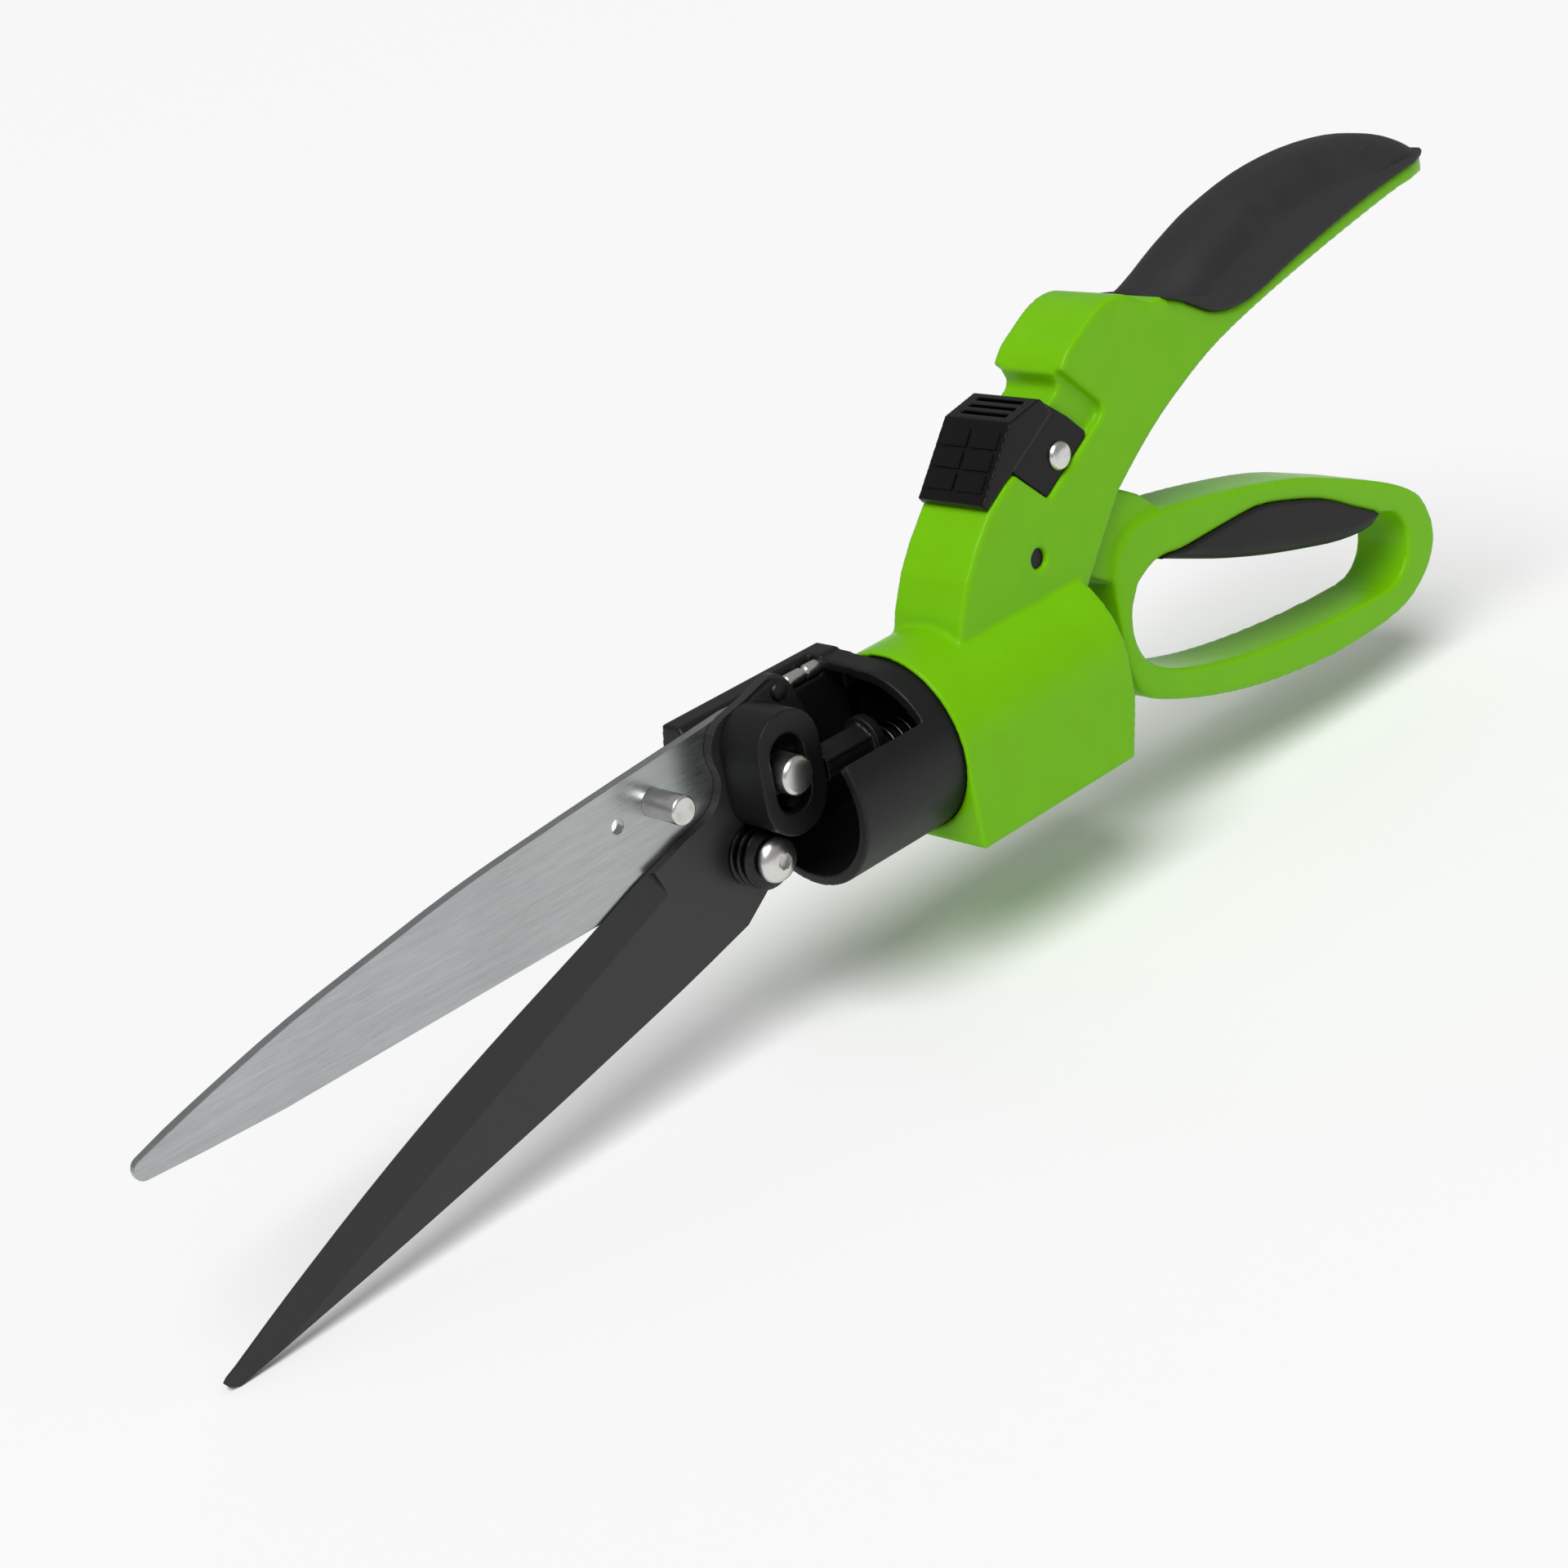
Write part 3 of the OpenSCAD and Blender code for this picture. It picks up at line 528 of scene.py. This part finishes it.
class Piece:
    """A visible piece that is made from one of the frame's nodes."""

    def __init__(self, node: str, name: str) -> None:
        """Copies the node's mesh and merges its loose triangles.

        Args:
            node: the frame's node that the piece stands for.
            name: the piece's own name.
        """
        self.node = node
        mesh = frame["nodes"][node].data.copy()
        mesh.materials.clear()
        for layer in [a for a in mesh.attributes if a.name == "custom_normal"]:
            mesh.attributes.remove(layer)
        self.object = bpy.data.objects.new(name, mesh)
        bpy.context.scene.collection.objects.link(self.object)
        work = bmesh.new()
        work.from_mesh(mesh)
        bmesh.ops.remove_doubles(work, verts=work.verts, dist=WELD)
        work.to_mesh(mesh)
        work.free()

    @property
    def points(self) -> np.ndarray:
        """The vertices, as rows of x, y and z."""
        flat = np.empty(len(self.object.data.vertices) * 3)
        self.object.data.vertices.foreach_get("co", flat)
        return flat.reshape(-1, 3)

    @points.setter
    def points(self, rows: np.ndarray) -> None:
        """Moves the vertices."""
        self.object.data.vertices.foreach_set("co", rows.ravel())
        self.object.data.update()

    def corner(self, direction: Triple) -> Vector:
        """The vertex that lies furthest in a direction."""
        rows = self.points
        return Vector(rows[np.argmax(rows @ np.array(direction))])

    def bake(self) -> None:
        """Turns the modifiers' result into the piece's mesh."""
        graph = bpy.context.evaluated_depsgraph_get()
        mesh = bpy.data.meshes.new_from_object(self.object.evaluated_get(graph))
        self.object.modifiers.clear()
        self.object.data = mesh

    def mould(self, voxel_mm: float, passes: int, strength: float = 0.5) -> "Piece":
        """Gives the piece the rounded edges and fillets of a moulding.

        Args:
            voxel_mm: the grid that the surface is rebuilt on.
            passes: how often the edges are relaxed.
            strength: how far a point moves in a pass.

        Returns:
            The piece.
        """
        grid = self.object.modifiers.new("grid", "REMESH")
        grid.mode = "VOXEL"
        grid.voxel_size = voxel_mm * MM
        self.bake()
        return self.relax(passes, strength)

    def relax(self, passes: int, strength: float = 0.5) -> "Piece":
        """Relaxes the surface, which rounds its edges.

        Args:
            passes: how often.
            strength: how far a point moves in a pass.

        Returns:
            The piece.
        """
        smooth = self.object.modifiers.new("relax", "SMOOTH")
        smooth.factor = strength
        smooth.iterations = passes
        self.bake()
        self.shade()
        return self

    def break_edges(self, width_mm: float, segments: int = 2, angle_deg: float = CREASE_DEG,
                    crease_deg: float = CREASE_DEG) -> "Piece":
        """Breaks the sharp edges with a narrow bevel.

        Args:
            width_mm: the bevel's width.
            segments: its segments.
            angle_deg: the least angle of an edge that is broken.
            crease_deg: the angle above which an edge is shaded sharp.

        Returns:
            The piece.
        """
        work = bmesh.new()
        work.from_mesh(self.object.data)
        flat = math.radians(FLAT_DEG)
        bmesh.ops.dissolve_limit(work, angle_limit=flat, verts=work.verts, edges=work.edges)
        work.to_mesh(self.object.data)
        work.free()
        bevel = self.object.modifiers.new("edges", "BEVEL")
        bevel.width = width_mm * MM
        bevel.segments = segments
        bevel.limit_method = "ANGLE"
        bevel.angle_limit = math.radians(angle_deg)
        bevel.use_clamp_overlap = True
        self.bake()
        self.shade(crease_deg)
        return self

    def shade(self, angle_deg: float = SMOOTH_DEG) -> None:
        """Shades smoothly across edges under the given angle.

        Args:
            angle_deg: the angle above which an edge stays sharp.
        """
        mesh = self.object.data
        mesh.shade_smooth()
        if angle_deg < SMOOTH_DEG:
            mesh.set_sharp_from_angle(angle=math.radians(angle_deg))

    def add(self, other: bpy.types.Object) -> None:
        """Joins another mesh object into the piece.

        Args:
            other: the object, which is used up.
        """
        work = bmesh.new()
        work.from_mesh(self.object.data)
        work.from_mesh(other.data)
        mesh = self.object.data
        work.to_mesh(mesh)
        work.free()
        bpy.data.objects.remove(other)

    def dress(self, body: Body, slot: Slot) -> bpy.types.Object:
        """Gives the piece its finish and its place in the frame.

        Args:
            body: the body it rides on.
            slot: the slot its finish comes from.

        Returns:
            The finished object.
        """
        mesh = self.object.data
        mesh.materials.clear()
        mesh.materials.append(material(slot))
        mesh.polygons.foreach_set("material_index", [0] * len(mesh.polygons))
        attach(self.object, body.value)
        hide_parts(self.node)
        LOG.info("%s: %d faces on %s", self.object.name, len(mesh.polygons), body.value)
        return self.object


def dress_node(node: str, slot: Slot) -> None:
    """Gives one of the frame's own nodes its finish.

    Args:
        node: the node.
        slot: the slot its finish comes from.
    """
    holder = frame["nodes"][node]
    if not holder.material_slots:
        holder.data.materials.append(None)
    for place in holder.material_slots:
        place.material = material(slot)
    LOG.info("%s: %s", node, slot.value)


def fall(distance: np.ndarray, radius: float) -> np.ndarray:
    """How far a round edge has dropped at a distance in from its start.

    Args:
        distance: distances past the start of the rounding.
        radius: the edge's radius.

    Returns:
        The drop at each distance.
    """
    inside = np.clip(distance, 0.0, radius)
    return radius - np.sqrt(radius * radius - inside * inside)


# ---------------------------------------------------------------- geometry nodes


class Growth:
    """A Geometry Nodes tree with named inputs, run once and turned into a mesh."""

    def __init__(self, name: str, sizes: dict[str, tuple[str, object]]) -> None:
        """Starts a tree.

        Args:
            name: the tree's name.
            sizes: socket type and value of each named input.
        """
        self.name = name
        self.sizes = sizes
        self.tree = bpy.data.node_groups.new(name, "GeometryNodeTree")
        for key, (kind, _) in sizes.items():
            self.tree.interface.new_socket(name=key, in_out="INPUT", socket_type=kind)
        self.tree.interface.new_socket(name="Geometry", in_out="OUTPUT", socket_type="NodeSocketGeometry")
        self.inputs = self.tree.nodes.new("NodeGroupInput").outputs

    def node(self, kind: str, settings: dict, inputs: dict) -> bpy.types.Node:
        """Adds a node.

        Args:
            kind: the node's type.
            settings: its properties, which are set first.
            inputs: values or links by socket name or number.

        Returns:
            The new node.
        """
        node = self.tree.nodes.new(kind)
        for key, value in settings.items():
            setattr(node, key, value)
        for key, value in inputs.items():
            if isinstance(value, bpy.types.NodeSocket):
                self.tree.links.new(value, node.inputs[key])
            else:
                node.inputs[key].default_value = value
        return node

    def grow(self, geometry: bpy.types.NodeSocket, slot: Slot) -> bpy.types.Object:
        """Ends the tree, runs it and returns the plain mesh.

        Args:
            geometry: the geometry to finish.
            slot: the slot of its finish.

        Returns:
            A new object at the origin.
        """
        real = self.node("GeometryNodeRealizeInstances", {}, {0: geometry})
        painted = self.node("GeometryNodeSetMaterial", {},
                            {"Geometry": real.outputs[0], "Material": material(slot)})
        self.node("NodeGroupOutput", {}, {0: painted.outputs[0]})
        holder = bpy.data.objects.new(self.name, bpy.data.meshes.new(self.name))
        bpy.context.scene.collection.objects.link(holder)
        modifier = holder.modifiers.new("grow", "NODES")
        modifier.node_group = self.tree
        for item in self.tree.interface.items_tree:
            if item.in_out == "INPUT":
                modifier[item.identifier] = self.sizes[item.name][1]
        graph = bpy.context.evaluated_depsgraph_get()
        mesh = bpy.data.meshes.new_from_object(holder.evaluated_get(graph))
        holder.modifiers.clear()
        holder.data = mesh
        return holder


def steel_piece(node: str, name: str, body: Body, slot: Slot, crease_deg: float = CREASE_DEG) -> None:
    """Makes a steel piece with finely broken edges.

    Args:
        node: the frame's node that the piece stands for.
        name: the piece's own name.
        body: the rigid body that it rides on.
        slot: the slot of its finish.
        crease_deg: the angle above which an edge is shaded sharp.
    """
    Piece(node, name).break_edges(BROKEN_EDGE_MM[node], crease_deg=crease_deg).dress(body, slot)


def place_mesh(piece: bpy.types.Object, matrix: Matrix) -> None:
    """Moves an object's mesh, and leaves the object at the origin.

    Args:
        piece: the object.
        matrix: where its mesh goes.
    """
    piece.data.transform(matrix)
    piece.data.update()


def coil(name: str, radius: float, wire: float, length: float, turns: float) -> bpy.types.Object:
    """A round wire coil along +Z, from the origin up.

    Args:
        name: the object's name.
        radius: the radius to the middle of the wire.
        wire: the wire's radius.
        length: the length between the middles of its end turns.
        turns: the number of turns.

    Returns:
        The coil.
    """
    tree = Growth(name, {
        "Turns": ("NodeSocketFloat", turns), "Radius": ("NodeSocketFloat", radius),
        "Wire": ("NodeSocketFloat", wire), "Length": ("NodeSocketFloat", length)})
    path = tree.node("GeometryNodeCurveSpiral", {}, {
        "Resolution": COIL_STEPS, "Rotations": tree.inputs["Turns"], "Start Radius": tree.inputs["Radius"],
        "End Radius": tree.inputs["Radius"], "Height": tree.inputs["Length"]})
    ring = tree.node("GeometryNodeCurvePrimitiveCircle", {"mode": "RADIUS"},
                     {"Resolution": WIRE_SIDES, "Radius": tree.inputs["Wire"]})
    wire_mesh = tree.node("GeometryNodeCurveToMesh", {}, {
        "Curve": path.outputs[0], "Profile Curve": ring.outputs[0], "Fill Caps": True})
    return tree.grow(wire_mesh.outputs[0], Slot.SPRING)


def bar_grid(name: str, slot: Slot, bar: Triple, counts: tuple[int, int],
             steps: tuple[float, float]) -> bpy.types.Object:
    """Equal bars with rounded edges, in a grid in the X-Y plane round the origin.

    Args:
        name: the object's name.
        slot: the slot of its finish.
        bar: the size of one bar.
        counts: how many along X and along Y.
        steps: the pitch along X and along Y.

    Returns:
        The bars.
    """
    tree = Growth(name, {
        "Bar": ("NodeSocketVector", bar),
        "Along X": ("NodeSocketInt", counts[0]), "Along Y": ("NodeSocketInt", counts[1]),
        "Span X": ("NodeSocketFloat", steps[0] * (counts[0] - 1)),
        "Span Y": ("NodeSocketFloat", steps[1] * (counts[1] - 1))})
    grid = tree.node("GeometryNodeMeshGrid", {}, {
        "Size X": tree.inputs["Span X"], "Size Y": tree.inputs["Span Y"],
        "Vertices X": tree.inputs["Along X"], "Vertices Y": tree.inputs["Along Y"]})
    one = tree.node("GeometryNodeMeshCube", {}, {
        "Size": tree.inputs["Bar"], "Vertices X": 3, "Vertices Y": 3, "Vertices Z": 2})
    soft = tree.node("GeometryNodeSubdivisionSurface", {},
                     {"Mesh": one.outputs[0], "Level": BAR_LEVEL, "Edge Crease": BAR_CREASE})
    spots = tree.node("GeometryNodeMeshToPoints", {}, {"Mesh": grid.outputs[0]})
    bars = tree.node("GeometryNodeInstanceOnPoints", {},
                     {"Points": spots.outputs[0], "Instance": soft.outputs[0]})
    return tree.grow(bars.outputs[0], slot)


# ---------------------------------------------------------------- sub-assemblies


@dataclass
class HandleShape:
    """The roundings that the housing's handle and its grip share."""

    end_round: float = 13 * MM
    end_power: float = 2.3
    end_least: float = 0.3
    bin_step: float = 2 * MM
    most_drop: float = 0.8
    tip_x: float = field(default_factory=lambda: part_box("housing")[0].x)

    def round_tip(self, rows: np.ndarray) -> np.ndarray:
        """Rounds the handle's tip in plan.

        Args:
            rows: the vertices.

        Returns:
            The moved vertices.
        """
        past = np.clip((self.tip_x + self.end_round - rows[:, 0]) / self.end_round, 0.0, 1.0)
        power = self.end_power
        width = np.maximum(np.clip(1 - past ** power, 0.0, 1.0) ** (1 / power), self.end_least)
        moved = rows.copy()
        moved[:, 1] *= width
        return moved

    def round_back(self, rows: np.ndarray, half: float, radius: float, upwards: bool) -> np.ndarray:
        """Rounds the long edges of a bar that runs along X.

        Args:
            rows: the vertices.
            half: the bar's half width.
            radius: the radius of its long edges.
            upwards: True to round its top, False its underside.

        Returns:
            The moved vertices.
        """
        step = self.bin_step
        bins = np.round(rows[:, 0] / step).astype(int)
        first = bins.min()
        high = np.full(bins.max() - first + 1, -np.inf)
        low = -high
        np.maximum.at(high, bins - first, rows[:, 2])
        np.minimum.at(low, bins - first, rows[:, 2])
        places = (np.arange(len(high)) + first) * step
        known = np.isfinite(high)
        bottom = np.interp(rows[:, 0], places[known], low[known])
        span = np.maximum(np.interp(rows[:, 0], places[known], high[known]) - bottom, WELD)
        share = (rows[:, 2] - bottom) / span
        share = np.clip(share if upwards else 1 - share, 0.0, 1.0)
        drop = fall(np.abs(rows[:, 1]) - (half - radius), radius)
        moved = rows.copy()
        moved[:, 2] += (-1 if upwards else 1) * np.minimum(drop, self.most_drop * span) * share * share
        return moved


@dataclass
class Housing:
    """The green housing with its upper handle, soft grip and pivot pin."""

    voxel_mm: float = 0.55
    passes: int = 4
    grip_voxel_mm: float = 0.6
    grip_passes: int = 8
    grip_relax: int = 4
    grip_edge: float = 9.5 * MM
    handle: HandleShape = field(default_factory=HandleShape)

    def shell(self) -> None:
        """Moulds the housing."""
        piece = Piece("housing", "housing_shell").mould(self.voxel_mm, self.passes)
        piece.points = self.handle.round_tip(piece.points)
        piece.dress(Body.HOUSING, Slot.GREEN)

    def grip(self) -> None:
        """Moulds the soft grip, with a crowned back."""
        piece = Piece("upper_grip", "grip_sleeve").mould(self.grip_voxel_mm, self.grip_passes)
        half = (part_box("upper_grip")[1].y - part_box("upper_grip")[0].y) / 2
        rows = self.handle.round_back(piece.points, half, self.grip_edge, True)
        piece.points = self.handle.round_tip(rows)
        piece.relax(self.grip_relax)
        piece.dress(Body.HOUSING, Slot.GRIP)

    def build(self) -> None:
        """Makes the housing's pieces."""
        self.shell()
        self.grip()
        dress_node("handle_pivot_pin", Slot.BLACK_STEEL)


@dataclass
class LowerHandle:
    """The finger loop and the soft pad inside it."""

    voxel_mm: float = 0.6
    passes: int = 6
    pad_voxel_mm: float = 0.4
    pad_passes: int = 6
    pad_relax: int = 3
    pad_edge: float = 3.5 * MM
    pad_fill: float = 1.0

    def build(self) -> None:
        """Makes the lower handle's pieces."""
        loop = Piece("lower_handle", "finger_loop").mould(self.voxel_mm, self.passes)
        loop.dress(Body.LOWER_HANDLE, Slot.GREEN)
        pad = Piece("finger_pad", "finger_cushion").mould(self.pad_voxel_mm, self.pad_passes)
        low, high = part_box("finger_pad")
        pad.points = HandleShape().round_back(pad.points, (high.y - low.y) / 2, self.pad_edge, False)
        pad.relax(self.pad_relax)
        pad.dress(Body.LOWER_HANDLE, Slot.PAD)


@dataclass
class LockSlider:
    """The ribbed thumb slider and its cross pin."""

    voxel_mm: float = 0.22
    passes: int = 3
    face_tilt_deg: float = 19.1
    pad: Triple = (3.9 * MM, 7.3 * MM, 1.1 * MM)
    pads: tuple[int, int] = (3, 2)
    pad_steps: tuple[float, float] = (4.7 * MM, 8.3 * MM)
    first_pad: float = 4.3 * MM
    crease_deg: float = 50

    def travel(self) -> Vector:
        """The direction in which the slider travels."""
        joint = next(j for j in frame["joints"] if j["name"] == "lock_slide")
        return Vector(joint["axis"]).normalized()

    def face(self, piece: Piece) -> Matrix:
        """The frame of the thumb face: X up the face, Y across, Z out of it.

        Args:
            piece: the slider.

        Returns:
            The matrix, with its origin at the face's lower edge.
        """
        tilt = Quaternion((0, 1, 0), math.radians(self.face_tilt_deg))
        up = tilt @ self.travel()
        out = up.cross(Vector((0, 1, 0)))
        out = out if out.x > 0 else -out
        across = out.cross(up)
        foot = piece.corner((1, 0, 0))
        foot.y = 0
        turn = Matrix((up, across, out)).transposed().to_4x4()
        return Matrix.Translation(foot) @ turn

    def build(self) -> None:
        """Makes the slider's pieces."""
        piece = Piece("lock_slider", "thumb_slider").mould(self.voxel_mm, self.passes)
        bars = bar_grid("thumb_pads", Slot.SLIDER, self.pad, self.pads, self.pad_steps)
        middle = self.first_pad + self.pad_steps[0] * (self.pads[0] - 1) / 2
        place_mesh(bars, self.face(piece) @ Matrix.Translation((middle, 0, 0)))
        piece.add(bars)
        piece.shade(self.crease_deg)
        piece.dress(Body.LOCK_SLIDER, Slot.SLIDER)
        steel_piece("slider_pin", "slider_rivet", Body.LOCK_SLIDER, Slot.PIN)


@dataclass
class SwivelHead:
    """The black carrier, what holds and clicks it, the fixed blade and the pivot hardware."""

    voxel_mm: float = 0.42
    passes: int = 3
    spring_wire: float = 0.6 * MM
    spring_turns: float = 4.5
    spring_keep: float = 0.5

    def spring(self) -> None:
        """Winds the return spring."""
        low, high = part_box("return_spring")
        middle = (low.z + high.z) / 2
        wire = self.spring_wire
        radius = (high.y - low.y) / 2 - wire
        wound = coil("return_coil", radius, wire, high.x - low.x - 2 * wire, self.spring_turns)
        turn = Matrix.Rotation(math.radians(90), 4, "Y")
        place_mesh(wound, Matrix.Translation((low.x + wire, 0, middle)) @ turn)
        wound.data.shade_smooth()
        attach(wound, Body.HEAD.value)
        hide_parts("return_spring")
        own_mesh(wound)
        LOG.info("%s: %d faces", wound.name, len(wound.data.polygons))

    def build(self) -> None:
        """Makes the head's pieces."""
        Piece("swivel_carrier", "carrier").mould(self.voxel_mm, self.passes).dress(Body.HEAD, Slot.BLACK)
        steel_piece("fixed_blade", "bright_blade", Body.HEAD, Slot.BLADE, GROUND_CREASE_DEG)
        steel_piece("stop_pin", "stop", Body.HEAD, Slot.PIN)
        steel_piece("locating_pin", "locator", Body.HEAD, Slot.PIN)
        steel_piece("pivot_screw", "pivot_screw_head", Body.HEAD, Slot.PIN)
        steel_piece("spring_washers", "cupped_washers", Body.HEAD, Slot.SPRING)
        steel_piece("lock_nut", "nut", Body.HEAD, Slot.PIN)
        steel_piece("blade_rivets", "rivets", Body.HEAD, Slot.PIN)
        self.spring()
        hidden = {"swivel_retainer": Slot.SPRING, "swivel_washer": Slot.WASHER, "detent_ball": Slot.PIN,
                  "detent_spring": Slot.SPRING, "pivot_bush": Slot.PIN}
        for node, slot in hidden.items():
            dress_node(node, slot)


@dataclass
class MovingBlade:
    """The coated blade with the slotted boss that drives it."""

    boss_voxel_mm: float = 0.22
    boss_passes: int = 6

    def build(self) -> None:
        """Makes the moving blade's pieces."""
        steel_piece("moving_blade", "dark_blade", Body.MOVING_BLADE, Slot.COATED, GROUND_CREASE_DEG)
        boss = Piece("blade_boss", "slotted_boss").mould(self.boss_voxel_mm, self.boss_passes)
        boss.dress(Body.MOVING_BLADE, Slot.BLACK)
        steel_piece("boss_rivets", "boss_studs", Body.MOVING_BLADE, Slot.BLACK_STEEL)


@dataclass
class Drive:
    """The push rod, its drive pin and clip."""

    voxel_mm: float = 0.3
    passes: int = 3

    def build(self) -> None:
        """Makes the drive's pieces."""
        Piece("push_rod", "rod").mould(self.voxel_mm, self.passes).dress(Body.PUSH_ROD, Slot.BLACK)
        steel_piece("drive_pin", "drive_stud", Body.PUSH_ROD, Slot.PIN)
        dress_node("drive_pin_clip", Slot.SPRING)


# ---------------------------------------------------------------- studio


@dataclass
class Studio:
    """Camera, floor and soft light."""

    place: Triple = (0.3925, 0.431, 0.2566)
    azimuth_deg: float = 51.84
    height_deg: float = 22.89
    roll_deg: float = -12.71
    lens_mm: float = 69.36
    sensor_mm: float = 36.0
    clip_start: float = 0.01
    floor_half: float = 60.0
    floor_gap: float = 0.0002
    floor_colour: Colour = (0.95, 0.95, 0.95, 1.0)
    floor_roughness: float = 0.8
    floor_specular: float = 0.1
    sky: float = 0.33
    backdrop: float = 0.93
    sun: float = 2.5
    sun_spread_deg: float = 38.0
    sun_azimuth_deg: float = 35.0
    sun_height_deg: float = 58.0

    @staticmethod
    def direction(azimuth_deg: float, height_deg: float) -> Vector:
        """The unit vector towards a place on the sky.

        Args:
            azimuth_deg: the angle from +X towards +Y.
            height_deg: the angle above the floor.

        Returns:
            The vector.
        """
        azimuth, height = math.radians(azimuth_deg), math.radians(height_deg)
        level = math.cos(height)
        return Vector((level * math.cos(azimuth), level * math.sin(azimuth), math.sin(height)))

    def camera(self) -> None:
        """Sets the camera."""
        data = bpy.data.cameras.new("camera")
        data.sensor_width = self.sensor_mm
        data.lens = self.lens_mm
        data.clip_start = self.clip_start
        holder = bpy.data.objects.new("camera", data)
        bpy.context.scene.collection.objects.link(holder)
        level = self.direction(self.azimuth_deg, self.height_deg).to_track_quat("Z", "Y")
        turn = level @ Quaternion((0, 0, 1), math.radians(self.roll_deg))
        holder.matrix_world = Matrix.Translation(self.place) @ turn.to_matrix().to_4x4()
        bpy.context.scene.camera = holder

    def floor(self) -> None:
        """Lays the pale floor under the object's lowest point."""
        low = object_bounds()[0][2] - self.floor_gap
        reach = self.floor_half
        mesh = bpy.data.meshes.new("floor")
        corners = [(-reach, -reach, low), (reach, -reach, low), (reach, reach, low), (-reach, reach, low)]
        mesh.from_pydata(corners, [], [(0, 1, 2, 3)])
        ground = bpy.data.objects.new("floor", mesh)
        bpy.context.scene.collection.objects.link(ground)
        paint = Paint("pale_floor")
        mesh.materials.append(paint.finish({
            "Base Color": self.floor_colour, "Roughness": self.floor_roughness,
            "Specular IOR Level": self.floor_specular}, {}))
        ground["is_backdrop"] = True

    def sun_light(self) -> None:
        """Adds the wide soft key light."""
        data = bpy.data.lights.new("key", "SUN")
        data.angle = math.radians(self.sun_spread_deg)
        data.energy = self.sun
        holder = bpy.data.objects.new("key", data)
        bpy.context.scene.collection.objects.link(holder)
        towards = self.direction(self.sun_azimuth_deg, self.sun_height_deg)
        holder.rotation_mode = "QUATERNION"
        holder.rotation_quaternion = towards.to_track_quat("Z", "Y")

    def sky_light(self) -> None:
        """Sets the even surrounding light, and the paler backdrop behind the floor."""
        world = bpy.data.worlds.new("studio")
        world.use_nodes = True
        tree = world.node_tree
        even = tree.nodes["Background"]
        backdrop = tree.nodes.new("ShaderNodeBackground")
        for node, strength in ((even, self.sky), (backdrop, self.backdrop)):
            node.inputs["Color"].default_value = (1.0, 1.0, 1.0, 1.0)
            node.inputs["Strength"].default_value = strength
        path = tree.nodes.new("ShaderNodeLightPath")
        mix = tree.nodes.new("ShaderNodeMixShader")
        tree.links.new(path.outputs["Is Camera Ray"], mix.inputs[0])
        tree.links.new(even.outputs[0], mix.inputs[1])
        tree.links.new(backdrop.outputs[0], mix.inputs[2])
        tree.links.new(mix.outputs[0], tree.nodes["World Output"].inputs["Surface"])
        bpy.context.scene.world = world

    def build(self) -> None:
        """Makes the studio."""
        scene = bpy.context.scene
        scene.view_settings.view_transform = "Standard"
        self.camera()
        self.floor()
        self.sky_light()
        self.sun_light()


def main() -> None:
    """Builds every sub-assembly and the studio."""
    logging.basicConfig(level=logging.INFO, format="%(name)s %(message)s")
    for part in (Housing(), LowerHandle(), LockSlider(), SwivelHead(), MovingBlade(), Drive(), Studio()):
        LOG.info("building %s", type(part).__name__)
        part.build()


if __name__ == "__main__":
    main()
